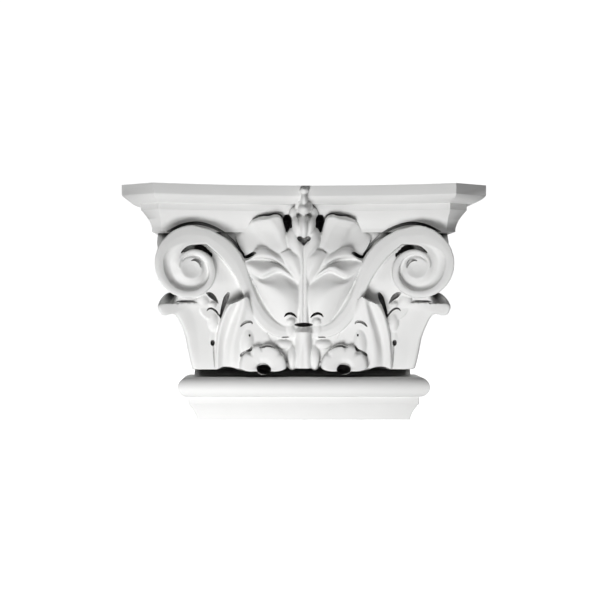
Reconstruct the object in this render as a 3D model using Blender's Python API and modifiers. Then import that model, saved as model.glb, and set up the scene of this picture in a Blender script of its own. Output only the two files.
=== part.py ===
"""Corinthian pilaster capital: a flat-backed casting in one piece.

Every shape is worked out in millimetres as (across, up, out): across runs to the right, up from the
underside, and out is the distance in front of the wall face. Only the last step turns that into
metres with +Z up, the front facing -Y and the origin under the middle of the piece.
"""

import math

import bmesh
import bpy
import numpy as np

# Overall sizes, mm
HEIGHT = 222.0
HORN_ACROSS = 139.0
HORN_OUT = 118.0
HORN_CANT = 31.8

# Abacus: a 60 degree hollow between the horns, over an ovolo, a fillet and a cavetto
HOLLOW_RADIUS = 2 * HORN_ACROSS
FASCIA = 9.4
OVOLO = (17.4, 7.6)
OVOLO_FROM_DEGREES = 24
OVOLO_FILLET = 6.2
CAVETTO = 10.2
ABACUS_UNDER = 178.8

# Base: a low cavetto, a fillet and a bead
BASE_ACROSS = 100.9
BASE_OUT = 57.0
FOOT_CAVETTO = (8.8, 15.6)
BEAD_FROM = 22.3
BEAD_RADIUS = 9.45
BEAD_AXIS_SET = 8.8

# Bell and the undercut between the leaf feet and the bead
BELL_LIP_INSET = 29.5
BELL_LIP_OUT = 60.0
NECK_ACROSS = 105.0
NECK_OUT = 45.0
LEAF_FEET = 51.0
LEAF_OUT = 61.0

# Volutes: outer radius at quarter turns from the crown of the scroll, and the eye
VOLUTE_ACROSS = 105.6
VOLUTE_UP = 144.2
VOLUTE_RADII = (40.5, 33.2, 27.6, 22.0, 18.7, 11.3)
VOLUTE_TURNS = 1.25
VOLUTE_EYE = 10.0
VOLUTE_SET_BACK = 14.0
CHANNEL_DEPTH = 5.0
WEB_SET_BACK = 21.5

# Middle of the eye under the curled tip of the lowest leaf
ROSETTE_ACROSS = 38.3
ROSETTE_UP = 50.3

# How far shapes run on behind the wall face before the back is cut flat, the reach of that cut,
# and how far out leaves are filled behind
RUN_BEHIND = 4.0
CUT_REACH = 200.0
LEAF_FILL = 42.0

# Fineness: steps along each kind of curve, the grain of the skin grown over the carving, its faces
PROFILE_STEPS = 6
FRONT_STEPS = 25
LEAF_STEPS = 30
BAND_STEPS = 44
VOLUTE_SIDES = 36
ROSETTE_SIDES = 60
LOBE_SIDES = 16
LOBE_RINGS = 9
VOXEL = 2.2
CARVING_FACES = 6900

WALL_Y = HORN_OUT / 2
MM = 0.001


def through(keys, count):
    """Points read along a Catmull-Rom curve through the key points; keys may be whole curves."""
    keys = np.asarray(keys, float)
    padded = np.concatenate([2 * keys[:1] - keys[1:2], keys, 2 * keys[-1:] - keys[-2:-1]])
    where = np.linspace(0, len(keys) - 1, count)
    span = np.minimum(where.astype(int), len(keys) - 2)
    t = (where - span).reshape((-1,) + (1,) * (keys.ndim - 1))
    a, b, c, d = (padded[span + i] for i in range(4))
    return 0.5 * (2 * b + (c - a) * t + (2 * a - 5 * b + 4 * c - d) * t**2 + (3 * b - a - 3 * c + d) * t**3)


def step(value, low, high):
    """0 below low, 1 above high, and smooth between."""
    t = np.clip((value - low) / (high - low), 0, 1)
    return t * t * (3 - 2 * t)


def unit(vectors):
    """The vectors at length one."""
    return vectors / np.maximum(np.linalg.norm(vectors, axis=-1, keepdims=True), 1e-9)


def hollow_out(across, set_back=0.0):
    """How far out the hollow front of the abacus stands at a place across."""
    middle = HORN_OUT + HOLLOW_RADIUS * math.cos(math.radians(30))
    return middle - np.sqrt((HOLLOW_RADIUS + set_back) ** 2 - np.asarray(across) ** 2)


def points(across, up, out):
    """One array of (across, up, out) rows."""
    return np.stack(np.broadcast_arrays(across, up, out), axis=-1).astype(float)


def new_object(name, rings_list, collection):
    """One mesh of closed lofts: the rings of each are joined in turn and its ends are capped."""
    mesh = bmesh.new()
    for rings in rings_list:
        stations, corners, _ = rings.shape
        placed = np.stack([rings[..., 0], WALL_Y - rings[..., 2], rings[..., 1]], axis=-1) * MM
        grid = [[mesh.verts.new(p) for p in ring] for ring in placed]
        for i in range(stations - 1):
            for j in range(corners):
                k = (j + 1) % corners
                mesh.faces.new((grid[i][j], grid[i][k], grid[i + 1][k], grid[i + 1][j]))
        mesh.faces.new(grid[0][::-1])
        mesh.faces.new(grid[-1])
    bmesh.ops.recalc_face_normals(mesh, faces=mesh.faces)
    data = bpy.data.meshes.new(name)
    mesh.to_mesh(data)
    mesh.free()
    shape = bpy.data.objects.new(name, data)
    collection.objects.link(shape)
    return shape


def both_sides(rings_list):
    """The lofts and their mirror images across the middle."""
    return rings_list + [rings * np.array([-1.0, 1.0, 1.0]) for rings in rings_list]


def abacus_outline(inset):
    """Plan of the abacus at an inset: wall corners, straight ends, canted horns and hollow front."""
    end = HORN_ACROSS + HORN_CANT - inset
    cant = HORN_ACROSS + HORN_OUT - math.sqrt(2) * inset
    radius = HOLLOW_RADIUS + inset
    lead = HORN_OUT + HOLLOW_RADIUS * math.cos(math.radians(30)) - cant
    horn = (math.sqrt(2 * radius**2 - lead**2) - lead) / 2
    across = radius * np.sin(np.linspace(-1, 1, FRONT_STEPS) * math.asin(horn / radius))
    front = np.column_stack([across, hollow_out(across, inset)])
    right = np.array([[end, cant - end], [end, -RUN_BEHIND]])
    return np.vstack([front, right, right[::-1] * [-1, 1]])


def abacus():
    """The abacus as a loft of its plan down the moulding's profile."""
    top = HEIGHT - FASCIA
    quarter = np.linspace(math.radians(OVOLO_FROM_DEGREES), math.pi / 2, PROFILE_STEPS)
    bulge = (math.cos(quarter[0]) - np.cos(quarter)) / math.cos(quarter[0])
    drop = (np.sin(quarter) - math.sin(quarter[0])) / (1 - math.sin(quarter[0]))
    hollow = np.linspace(0, 1, PROFILE_STEPS)
    fillet_foot = top - OVOLO[1] - OVOLO_FILLET
    inset = np.concatenate([
        [0.0], OVOLO[0] * bulge, OVOLO[0] + CAVETTO * (hollow + 0.16 * np.sin(math.pi * hollow)),
        [OVOLO[0] + CAVETTO],
    ])
    up = np.concatenate([
        [HEIGHT], top - OVOLO[1] * drop,
        fillet_foot - (fillet_foot - ABACUS_UNDER - 3.0) * hollow, [ABACUS_UNDER],
    ])
    plans = [abacus_outline(d) for d in inset]
    return np.stack([points(plan[:, 0], z, plan[:, 1]) for plan, z in zip(plans, up, strict=True)])


def block(up, across, out, corner):
    """A loft of rectangles on the wall, rounded at the two front corners."""
    turn = np.linspace(0, math.pi / 2, 6)
    rings = []
    for z, w, q, r in zip(up, across, out, corner, strict=True):
        right = points(w - r + r * np.cos(turn), z, q - r + r * np.sin(turn))
        left = right[::-1] * [-1, 1, 1]
        back = points([-w, w], z, -RUN_BEHIND)
        rings.append(np.vstack([right, left, back]))
    return np.stack(rings)


def base():
    """The base moulding: cavetto, fillet and bead, returned square to the wall."""
    rise = np.linspace(0, 1, PROFILE_STEPS)
    bead = np.linspace(-0.5, 0.5, PROFILE_STEPS + 3) * math.pi
    set_out = np.concatenate([
        FOOT_CAVETTO[0] * (0.1 + 0.9 * rise**1.7), [FOOT_CAVETTO[0]],
        BEAD_AXIS_SET + BEAD_RADIUS * np.cos(bead), [4.0],
    ])
    up = np.concatenate([
        FOOT_CAVETTO[1] * rise, [BEAD_FROM], BEAD_FROM + BEAD_RADIUS * (1 + np.sin(bead)),
        [BEAD_FROM + 2 * BEAD_RADIUS + 0.2],
    ])
    corner = np.full(len(up), 0.8)
    return block(up, BASE_ACROSS + set_out, BASE_OUT + set_out, corner)


def bell():
    """The bell: a neck in shadow, a slim waist, and a lip that takes up the hollow of the abacus."""
    keys = [
        # up, half across, out, how far it has taken up the hollow
        (34.0, NECK_ACROSS, NECK_OUT, 0.0),
        (47.0, NECK_ACROSS, NECK_OUT, 0.0),
        (56.0, 101.0, 52.0, 0.0),
        (90.0, 101.0, 56.0, 0.0),
        (118.0, 107.0, 56.5, 0.05),
        (145.0, 122.0, 55.5, 0.4),
        (160.0, 136.0, 55.0, 0.85),
        (167.0, 140.5, 55.0, 1.0),
        (184.0, 140.5, 55.0, 1.0),
    ]
    ways = np.linspace(-1, 1, FRONT_STEPS)
    rings = []
    for up, half, out, share in through(keys, LEAF_STEPS):
        across = ways * (half - 5.0)
        lip = np.minimum(hollow_out(across) - BELL_LIP_INSET, BELL_LIP_OUT)
        front = np.column_stack([across, out + np.clip(share, 0, 1) * (lip - out)])
        right = np.array([[half, front[0, 1] - 5.0], [half, -RUN_BEHIND]])
        plan = np.vstack([front, right, right[::-1] * [-1, 1]])
        rings.append(points(plan[:, 0], up, plan[:, 1]))
    return np.stack(rings)


def spiral(turn):
    """Outer radius of the scroll after so many turns from its crown."""
    return np.interp(turn, np.arange(len(VOLUTE_RADII)) / 4, VOLUTE_RADII)


def band():
    """The stem that springs from the collar, swells, and winds into the scroll round its eye.

    Each section runs from the outer rail to the inner one: a hollow flank, a flat rim, a cove and
    a crest. The widths and depths of these change along the way.
    """
    keys = [
        # outer rail across and up, inner rail across and up, set back, flank share, flank drop
        (8.0, 88.0, 6.0, 79.0, 21.0, 0.30, 5.0),
        (24.5, 96.3, 22.0, 79.1, 19.0, 0.32, 9.0),
        (33.5, 106.3, 35.9, 84.9, 18.0, 0.34, 10.0),
        (41.2, 118.6, 47.8, 99.2, 17.2, 0.33, 10.5),
        (47.3, 132.3, 56.8, 118.1, 16.6, 0.30, 10.5),
        (51.8, 144.6, 62.8, 132.3, 16.0, 0.20, 8.0),
        (59.1, 157.8, 70.4, 144.6, 15.2, 0.08, 4.0),
        (71.3, 170.8, 80.7, 157.2, 14.6, 0.04, 1.5),
        (87.6, 180.5, 92.3, 167.1, 14.2, 0.03, 1.0),
    ]
    rows = through(keys, BAND_STEPS)
    turns = np.linspace(0.0, VOLUTE_TURNS, BAND_STEPS + 12)
    angle = 2 * math.pi * turns
    outer = spiral(turns)
    inner = np.interp(turns, (0.0, 0.06, 0.1, 0.16, 0.25), (22.9, 19.4, 16.4, 12.4, VOLUTE_EYE))
    inner = np.minimum(inner, outer - 0.8)
    wound = np.column_stack([
        VOLUTE_ACROSS + outer * np.sin(angle), VOLUTE_UP + outer * np.cos(angle),
        VOLUTE_ACROSS + inner * np.sin(angle), VOLUTE_UP + inner * np.cos(angle),
        np.full_like(turns, VOLUTE_SET_BACK), np.full_like(turns, 0.03), np.full_like(turns, 1.0),
    ])
    rows = np.vstack([rows, wound])
    wind = np.concatenate([np.linspace(-0.9, -0.02, BAND_STEPS), turns])[:, None]
    rim = 0.96 - 0.56 * step(wind, -0.03, 0.2) + 0.1 * step(wind, 0.6, 0.8)
    cove = 0.4 + (CHANNEL_DEPTH - 0.4) * step(wind, 0.0, 0.25) - 3.0 * step(wind, 0.6, 0.85)
    crest = -0.6
    flank, drop = rows[:, 5:6], rows[:, 6:7]
    one = np.ones_like(wind)
    share = np.hstack([
        0 * one, 0.5 * flank, flank, 0.5 * (flank + rim), rim, rim + 0.08 * (1 - rim),
        rim + 0.25 * (1 - rim), rim + 0.55 * (1 - rim), rim + 0.85 * (1 - rim), one,
    ])
    height = np.hstack([
        -drop, -0.7 * drop, 0 * one, 0.7 * one, 0 * one, -0.6 * cove, -cove, -0.7 * cove,
        -0.1 * cove + crest, crest * one,
    ])
    far, near = rows[:, None, 0:2], rows[:, None, 2:4]
    rail = far + (near - far) * share[..., None]
    face = points(rail[..., 0], rail[..., 1], hollow_out(rail[..., 0]) - rows[:, 4:5] + height)
    under = face[:, [-1, 0]] - [0, 0, 1] * np.maximum(26.0 - 12 * step(wind, -0.1, 0.1), 12)[..., None]
    return np.concatenate([face, under], axis=1)


def volute_back():
    """The cushion behind the scroll, thinning towards the wall, and the dished eye."""
    turn = np.linspace(0, 2 * math.pi, VOLUTE_SIDES + 1)[:-1]
    radius = spiral(turn / (2 * math.pi))
    rings = []
    for share, waist in ((-0.1, 0.74), (0.3, 0.76), (0.6, 0.84), (0.86, 0.92), (1.0, 0.88)):
        reach = radius * waist
        across = VOLUTE_ACROSS - 6.0 * (1 - share) + reach * np.sin(turn)
        face = hollow_out(VOLUTE_ACROSS + reach * np.sin(turn)) - VOLUTE_SET_BACK - 11.0
        rings.append(points(across, VOLUTE_UP + reach * np.cos(turn), face * share))
    eye = []
    for share, dish in ((1.05, -20.0), (1.05, -0.8), (0.9, -1.0), (0.5, -2.0), (0.05, -2.2)):
        across = VOLUTE_ACROSS + VOLUTE_EYE * share * np.sin(turn)
        up = VOLUTE_UP + VOLUTE_EYE * share * np.cos(turn)
        eye.append(points(across, up, hollow_out(across) - VOLUTE_SET_BACK + dish))
    return [np.stack(rings), np.stack(eye)]


def web():
    """The sunk field between the stem and the scroll."""
    outline = [
        (80.0, 170.0), (70.0, 152.0), (58.0, 130.0), (50.0, 112.0), (58.0, 98.0), (84.0, 94.0),
        (98.0, 104.0), (96.0, 126.0), (95.0, 140.0), (86.3, 155.3), (91.5, 163.1), (94.8, 165.6),
        (97.5, 168.5), (88.0, 172.0),
    ]
    rows = through([*outline, outline[0]], BAND_STEPS + 1)[:-1]
    face = hollow_out(rows[:, 0]) - WEB_SET_BACK
    return np.stack([points(rows[:, 0], rows[:, 1], 36.0), points(rows[:, 0], rows[:, 1], face)])


def sheet(guides, along, across, back):
    """A skin drawn over guide curves and filled behind as far as a depth."""
    curves = np.stack([through(guide, along) for guide in guides])
    front = through(curves, across).swapaxes(0, 1)
    rear = front[:, ::-1] * [1, 1, 0] + [0, 0, back]
    return np.concatenate([front, rear], axis=1)


def groove(keys, count):
    """A cutter for a groove. Key rows: across, up, out of the surface, half width, depth."""
    rows = through(keys, count)
    path = rows[:, :2]
    along = unit(np.gradient(path, axis=0))
    aside = np.column_stack([-along[:, 1], along[:, 0]])
    ring = []
    for share, level in ((-1.5, 6.0), (1.5, 6.0), (1.0, 0.0), (0.7, -1.0), (-0.7, -1.0), (-1.0, 0.0)):
        place = path + aside * rows[:, 3:4] * share
        out = rows[:, 2] + (level if level >= 0 else -rows[:, 4])
        ring.append(points(place[:, 0], place[:, 1], out))
    return np.stack(ring, axis=1)


def corner_leaf():
    """The leaf that wraps the corner and turns over in a lip under the scroll.

    Sections run up the leaf and follow one another round the corner. The flare of each is a share
    of a plan vector, largest on the corner itself.
    """
    edge = through([(83.0, 59.5), (95.0, 61.0), (103.5, 60.5), (105.0, 52.0), (105.0, 20.0)], FRONT_STEPS)
    flare = through([(4.0, 7.0), (17.0, 16.0), (33.0, 33.0), (19.0, 17.0), (10.0, 3.0)], FRONT_STEPS)
    fold = np.array([
        # share of the flare, up on the corner, up at the ends of the lip
        (-0.9, 50.0, 50.0), (0.05, 50.0, 50.0), (0.12, 57.0, 57.0), (0.18, 67.0, 67.0),
        (0.22, 78.0, 78.0), (0.30, 87.0, 88.0), (0.42, 96.0, 97.0), (0.53, 101.8, 104.0),
        (0.66, 102.0, 108.0), (0.84, 100.0, 111.0), (0.95, 102.0, 112.3), (1.0, 106.5, 113.2),
        (0.985, 110.0, 114.2), (0.94, 111.6, 115.0), (0.87, 111.0, 115.0), (0.80, 113.0, 115.4),
        (0.72, 118.5, 117.0), (0.60, 123.5, 119.0), (0.35, 127.0, 121.0), (-0.9, 127.0, 121.0),
    ])
    place = edge[:, None] + flare[:, None] * fold[None, :, :1]
    ends = np.abs(np.linspace(-1, 1, FRONT_STEPS))[:, None] ** 1.3
    up = fold[None, :, 1] + (fold[None, :, 2] - fold[None, :, 1]) * ends
    return points(place[..., 0], up, place[..., 1])


def front_skirt():
    """The ground of the lower leaves: a wavy foot overhanging the neck."""
    across = np.linspace(-104.0, 104.0, 53)
    foot = LEAF_FEET - 1.2 * np.cos(across / 8.5)
    head = 92.0 + 10.0 * np.abs(across / 104.0)
    rings = [
        points(across, foot, NECK_OUT - 8.0), points(across, foot, LEAF_OUT - 5.0),
        points(across, foot + 2.0, LEAF_OUT - 3.0), points(across, 72.0, LEAF_OUT - 5.0),
        points(across, head, LEAF_OUT - 9.0), points(across, head + 5.0, NECK_OUT - 8.0),
    ]
    return np.stack(rings, axis=1)


def side_skirt():
    """The same ground on the end of the capital."""
    out = np.linspace(-RUN_BEHIND, LEAF_OUT - 5.0, 15)
    foot = LEAF_FEET - 1.2 * np.cos(out / 8.5)
    rings = [
        points(96.0, foot, out), points(104.0, foot, out), points(106.5, 72.0, out),
        points(112.0, 96.0, out), points(108.0, 104.0, out), points(96.0, 104.0, out),
    ]
    return np.stack(rings, axis=1)


def middle_leaf():
    """The leaf of the second row, leaning towards the stem, with its rim, groove and side lobe."""
    rim_foot = [
        (85.2, 46.6, 57.0), (84.6, 66.7, 58.0), (83.2, 82.0, 60.0), (79.5, 97.7, 64.0),
        (76.2, 106.8, 67.0), (73.3, 111.1, 69.0),
    ]
    rim = [
        (82.5, 46.8, 62.5), (81.9, 66.8, 64.0), (80.2, 82.1, 66.0), (76.3, 96.8, 70.0),
        (72.2, 105.8, 74.0), (69.0, 110.6, 76.0),
    ]
    hollow = [
        (77.1, 46.7, 60.5), (76.7, 66.7, 61.0), (74.2, 82.0, 63.0), (69.5, 96.8, 67.0),
        (65.3, 106.8, 72.0), (62.9, 113.4, 75.0),
    ]
    swell = [
        (69.2, 46.8, 62.0), (69.2, 66.8, 64.0), (67.1, 82.1, 66.5), (62.4, 96.8, 70.5),
        (59.1, 108.7, 75.0), (57.6, 116.2, 77.5),
    ]
    root = [
        (57.8, 46.7, 61.0), (57.8, 66.8, 61.5), (55.4, 82.0, 63.0), (53.5, 96.8, 66.5),
        (52.5, 107.7, 71.0), (52.9, 118.1, 74.0),
    ]
    inner = [
        (30.2, 46.6, 58.0), (30.2, 64.7, 58.0), (32.1, 76.2, 59.0), (37.8, 87.7, 60.0),
        (45.4, 100.1, 63.0), (50.2, 112.4, 66.0),
    ]
    return sheet([rim_foot, rim, hollow, swell, root, inner], LEAF_STEPS, LEAF_STEPS, LEAF_FILL)


def lobe(across, up, out, wide, tall, deep, lean=0.0):
    """A smooth swelling: half an egg, leaning by so many degrees."""
    turn = np.linspace(0, 2 * math.pi, LOBE_SIDES + 1)[:-1]
    climb = np.linspace(-0.45, 0.48, LOBE_RINGS) * math.pi
    tilt = math.radians(lean)
    x = wide * np.cos(turn)[None] * np.cos(climb)[:, None]
    z = tall * np.sin(turn)[None] * np.cos(climb)[:, None]
    y = deep * np.sin(climb)[:, None] * np.ones_like(turn)
    aside = x * math.cos(tilt) - z * math.sin(tilt)
    above = x * math.sin(tilt) + z * math.cos(tilt)
    return points(across + aside, up + above, out + y)


def inner_lobes():
    """The lobes where the corner leaf meets the middle leaf, and the lobe beside the stem."""
    side_lobe = [
        [(63.1, 64.8, 60.0), (62.1, 80.1, 62.0), (60.2, 89.2, 64.0)],
        [(59.7, 64.8, 61.0), (59.1, 80.2, 65.0), (57.7, 93.0, 68.0)],
        [(53.5, 64.8, 61.0), (53.5, 80.2, 66.0), (53.0, 94.8, 69.5)],
        [(47.8, 64.8, 60.0), (47.8, 80.1, 64.5), (48.3, 93.5, 68.0)],
        [(44.5, 64.7, 58.0), (44.7, 80.1, 61.0), (45.4, 90.6, 64.0)],
    ]
    return [
        lobe(98.0, 115.3, 68.0, 10.0, 9.0, 8.0),
        lobe(85.9, 110.6, 66.0, 4.2, 4.0, 6.0),
        lobe(86.0, 92.0, 60.0, 6.4, 13.5, 7.5),
        lobe(89.0, 60.8, 55.0, 4.5, 17.0, 6.5),
        sheet(side_lobe, LOBE_SIDES, LOBE_SIDES, LEAF_FILL),
    ]


def rosette():
    """The curled tip of the lowest leaf: a lobed shell hanging over a drilled eye."""
    turn = np.linspace(0, 2 * math.pi, ROSETTE_SIDES + 1)[:-1]
    above = step(np.sin(turn), -0.35, 0.2)
    scallop = np.abs(np.sin(2.5 * turn - 0.25))
    reach = (7.4 + above * 15.4) * (1 - 0.09 * above * (1 - scallop))
    shell = [
        # share of the reach, height
        (0.24, -12.0), (0.24, 6.5), (0.31, 8.0), (0.42, 9.4), (0.56, 9.8), (0.7, 8.8), (0.83, 6.8),
        (0.93, 5.0), (0.99, 3.4), (1.0, -12.0),
    ]
    rings = []
    for share, rise in shell:
        sunk = 1.6 * (1 - scallop) * step(share, 0.4, 0.75) * above
        wide = np.maximum(reach * share, 5.2)
        tall = np.maximum(reach * share, 3.8 + 1.4 * (share > 0.3))
        across = ROSETTE_ACROSS + wide * np.cos(turn)
        rings.append(points(across, ROSETTE_UP + tall * np.sin(turn), LEAF_OUT + rise - sunk))
    return np.stack(rings)


def sheath():
    """The sheath on the middle line, opening above in a collar for the inner stems."""
    turn = np.linspace(0, 2 * math.pi, FRONT_STEPS)[:-1]
    keys = [
        # up, half across, how far the front stands out
        (50.0, 15.5, 64.0), (60.0, 14.5, 65.0), (71.0, 12.2, 65.5), (78.0, 11.2, 66.0),
        (82.0, 11.8, 68.0), (84.5, 12.6, 69.5), (86.0, 12.2, 68.5), (88.2, 10.6, 63.5), (89.0, 9.0, 58.0),
    ]
    up, wide, out = through(keys, LEAF_STEPS).T
    middle = NECK_OUT - 2.0
    return points(wide[:, None] * np.cos(turn), up[:, None], middle + (out - middle)[:, None] * np.sin(turn))


def foot_lobes():
    """The lobes of the small leaves on each side of the sheath, and the knobs above the collar."""
    return [
        lobe(10.6, 60.0, 58.0, 5.5, 11.0, 8.0),
        lobe(19.7, 71.9, 56.0, 8.0, 5.0, 6.0),
        lobe(13.4, 94.9, 58.0, 5.4, 5.4, 9.0),
    ]


def centre_stem():
    """The middle stem and the two petals it spreads into below the flower."""
    outer = [
        (4.8, 85.7, 56.0), (4.8, 114.4, 57.0), (4.4, 135.4, 58.0), (5.0, 148.7, 59.0),
        (7.5, 156.3, 60.0), (13.1, 160.6, 60.0), (16.1, 168.7, 59.0), (15.9, 178.3, 57.0),
        (13.2, 182.4, 56.0),
    ]
    ridge = [
        (3.0, 85.8, 62.0), (3.0, 114.4, 62.5), (2.7, 135.3, 64.0), (2.9, 148.5, 66.0), (5.0, 157.0, 68.5),
        (9.0, 163.1, 70.0), (12.3, 170.2, 71.0), (12.5, 177.8, 70.0), (11.1, 181.5, 68.0),
    ]
    inner = [
        (1.1, 85.8, 63.0), (1.1, 114.4, 63.5), (1.1, 135.2, 65.0), (1.2, 148.5, 67.0), (2.2, 157.9, 69.0),
        (5.1, 165.0, 71.0), (7.1, 172.0, 72.0), (7.7, 177.7, 71.0), (8.1, 181.0, 69.0),
    ]
    seam = [
        (-0.2, 85.8, 61.0), (-0.2, 114.4, 61.5), (-0.2, 135.3, 63.0), (-0.2, 148.5, 65.0),
        (-0.1, 158.0, 67.0), (0.9, 164.8, 68.0), (3.7, 171.3, 67.0), (5.0, 177.0, 66.0),
        (5.5, 180.5, 64.0),
    ]
    half = sheet([outer, ridge, inner, seam], LEAF_STEPS, LOBE_SIDES, LEAF_FILL - 4.0)
    return [half, half * [-1, 1, 1]]


def inner_leaves():
    """The large leaf turned outward over the stem, the leaf above it, and the lobe at their root."""
    big_leaf = [
        [
            (12.1, 148.7, 58.0), (16.1, 159.3, 62.0), (23.6, 161.5, 66.0), (31.2, 164.4, 69.0),
            (40.2, 164.1, 71.0), (45.6, 161.2, 71.0), (50.1, 154.6, 71.0), (55.1, 150.7, 71.0),
        ],
        [
            (10.2, 144.8, 61.0), (14.5, 152.7, 68.0), (21.8, 156.3, 73.0), (30.3, 159.6, 76.0),
            (39.7, 160.0, 77.5), (45.4, 158.3, 77.0), (49.9, 153.6, 75.0), (55.0, 150.1, 73.0),
        ],
        [
            (6.4, 129.6, 63.0), (11.1, 138.0, 69.0), (16.5, 144.9, 74.5), (23.2, 150.5, 78.5),
            (32.2, 154.0, 81.0), (40.7, 155.4, 81.0), (48.7, 152.8, 78.0), (54.6, 149.3, 74.5),
        ],
        [
            (6.2, 128.5, 61.0), (10.8, 136.4, 63.5), (16.7, 143.9, 67.0), (23.6, 149.4, 70.0),
            (32.4, 152.7, 72.5), (40.7, 153.8, 73.5), (48.2, 151.6, 73.5), (53.9, 148.6, 72.5),
        ],
        [
            (6.0, 126.3, 59.5), (11.0, 133.9, 61.5), (17.1, 141.4, 64.5), (24.6, 146.2, 67.0),
            (33.3, 149.0, 69.5), (40.7, 149.0, 71.0), (46.7, 148.2, 71.5), (53.0, 147.4, 72.0),
        ],
        [
            (5.8, 124.4, 60.5), (11.2, 132.2, 64.0), (18.3, 139.5, 69.0), (26.0, 143.5, 72.5),
            (34.1, 145.1, 74.5), (40.7, 144.0, 75.0), (46.0, 144.7, 74.0), (51.6, 146.3, 72.5),
        ],
        [
            (5.6, 123.3, 59.0), (11.5, 130.6, 61.0), (19.0, 137.9, 64.0), (26.6, 141.9, 67.0),
            (34.2, 143.1, 69.5), (40.7, 141.4, 70.5), (45.4, 142.9, 71.5), (50.9, 145.2, 71.5),
        ],
        [
            (5.4, 122.0, 58.5), (11.6, 128.2, 60.0), (19.2, 132.0, 62.5), (28.8, 135.7, 65.5),
            (35.5, 138.0, 68.5), (40.7, 138.4, 70.5), (44.5, 140.1, 71.0), (50.1, 144.1, 71.0),
        ],
        [
            (5.2, 121.1, 56.0), (12.1, 126.4, 57.5), (19.2, 122.9, 60.0), (29.7, 127.5, 62.5),
            (36.9, 132.2, 65.5), (41.6, 135.3, 67.5), (44.5, 137.3, 68.5), (49.6, 142.2, 69.0),
        ],
    ]
    crown_leaf = [
        [
            (16.8, 161.1, 57.0), (24.5, 170.5, 61.0), (31.4, 179.8, 66.0), (38.3, 186.3, 71.0),
            (47.8, 188.9, 75.0),
        ],
        [
            (15.9, 163.9, 61.0), (22.8, 174.2, 66.0), (29.3, 183.4, 72.0), (36.3, 189.4, 76.5),
            (47.3, 190.1, 78.0),
        ],
        [
            (15.5, 166.7, 61.0), (20.2, 178.4, 66.0), (25.5, 187.2, 71.5), (31.8, 191.3, 76.0),
            (43.9, 191.5, 79.0),
        ],
        [
            (15.2, 171.5, 61.0), (17.9, 182.2, 66.0), (22.1, 190.4, 71.5), (29.7, 193.0, 76.5),
            (41.1, 193.2, 78.5),
        ],
        [
            (14.9, 177.4, 56.0), (16.7, 183.9, 60.0), (20.2, 192.6, 65.0), (26.5, 195.7, 71.0),
            (38.8, 194.6, 75.0),
        ],
    ]
    return [
        sheet(big_leaf, LEAF_STEPS, LEAF_STEPS, LEAF_FILL),
        sheet(crown_leaf, LEAF_STEPS, LOBE_SIDES, LEAF_FILL + 4.0),
        lobe(13.0, 152.5, 59.0, 6.6, 12.6, 11.0, -34),
    ]


def flower():
    """The flower on the middle of the abacus: three hanging petals, a second tier and a knob."""
    return [
        lobe(0.0, 184.5, 71.0, 3.8, 12.5, 11.0),
        lobe(4.8, 184.0, 69.0, 3.9, 11.5, 10.5, -16),
        lobe(-4.8, 184.0, 69.0, 3.9, 11.5, 10.5, 16),
        lobe(0.0, 199.3, 74.0, 5.8, 5.6, 14.5),
        lobe(10.6, 199.0, 70.0, 4.8, 4.4, 10.5),
        lobe(-10.6, 199.0, 70.0, 4.8, 4.4, 10.5),
        lobe(6.8, 208.5, 74.0, 3.4, 3.0, 9.5),
        lobe(-6.8, 208.5, 74.0, 3.4, 3.0, 9.5),
        lobe(0.0, 210.0, 78.0, 3.7, 6.5, 11.0),
        lobe(0.0, 217.3, 80.0, 4.9, 3.4, 12.0),
    ]


def drills():
    """Cutters for the undercut round the scroll, the deep hollows and the drilled eyes."""
    scroll_edge = [
        (128.4, 178.1, 76.0, 1.2, 12.0), (115.3, 185.8, 77.0, 1.5, 12.0), (99.9, 187.8, 75.5, 1.7, 12.0),
        (83.5, 183.2, 72.0, 1.6, 12.0), (69.3, 173.5, 64.0, 1.5, 10.0), (57.7, 159.2, 61.0, 1.1, 9.0),
    ]
    side = [
        groove(scroll_edge, LEAF_STEPS),
        lobe(14.9, 187.0, 68.0, 4.4, 8.2, 14.0, 8),
        lobe(50.9, 157.4, 66.0, 5.4, 2.8, 9.0, 24),
    ]
    middle = [lobe(0.0, 170.5, 72.0, 6.6, 4.4, 9.0), lobe(0.0, 90.6, 64.0, 8.8, 3.6, 12.0)]
    return [*middle, *both_sides(side)]


def carving(collection):
    """All the carved work grown together into one skin, then thinned."""
    sides = [
        band(), *volute_back(), web(), corner_leaf(), side_skirt(), middle_leaf(), *inner_lobes(),
        rosette(), *foot_lobes(), *inner_leaves(),
    ]
    middle = [bell(), front_skirt(), sheath(), *centre_stem(), *flower()]
    shape = new_object("carving", [*middle, *both_sides(sides)], collection)
    remesh = shape.modifiers.new("grown together", "REMESH")
    remesh.mode = "VOXEL"
    remesh.voxel_size = VOXEL * MM
    grown = shape.evaluated_get(bpy.context.evaluated_depsgraph_get()).data
    thin = shape.modifiers.new("thinned", "DECIMATE")
    thin.ratio = CARVING_FACES / sum(len(face.vertices) - 2 for face in grown.polygons)
    return shape


def fixed(shape):
    """The object with its modifiers turned into mesh."""
    bpy.context.view_layer.update()
    depsgraph = bpy.context.evaluated_depsgraph_get()
    data = bpy.data.meshes.new_from_object(shape.evaluated_get(depsgraph))
    shape.modifiers.clear()
    shape.data = data
    return shape


def combine(shape, other, operation):
    """A Boolean of two objects, kept in the first."""
    boolean = shape.modifiers.new(operation.lower(), "BOOLEAN")
    boolean.operation = operation
    boolean.object = other
    fixed(shape)


def material():
    """Rigid polyurethane foam with its white factory primer."""
    primer = bpy.data.materials.new("white_primer")
    primer.use_nodes = True
    shader = primer.node_tree.nodes["Principled BSDF"]
    shader.inputs["Base Color"].default_value = (0.80, 0.80, 0.79, 1.0)
    shader.inputs["Roughness"].default_value = 0.6
    shader.inputs["Metallic"].default_value = 0.0
    return primer


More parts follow.
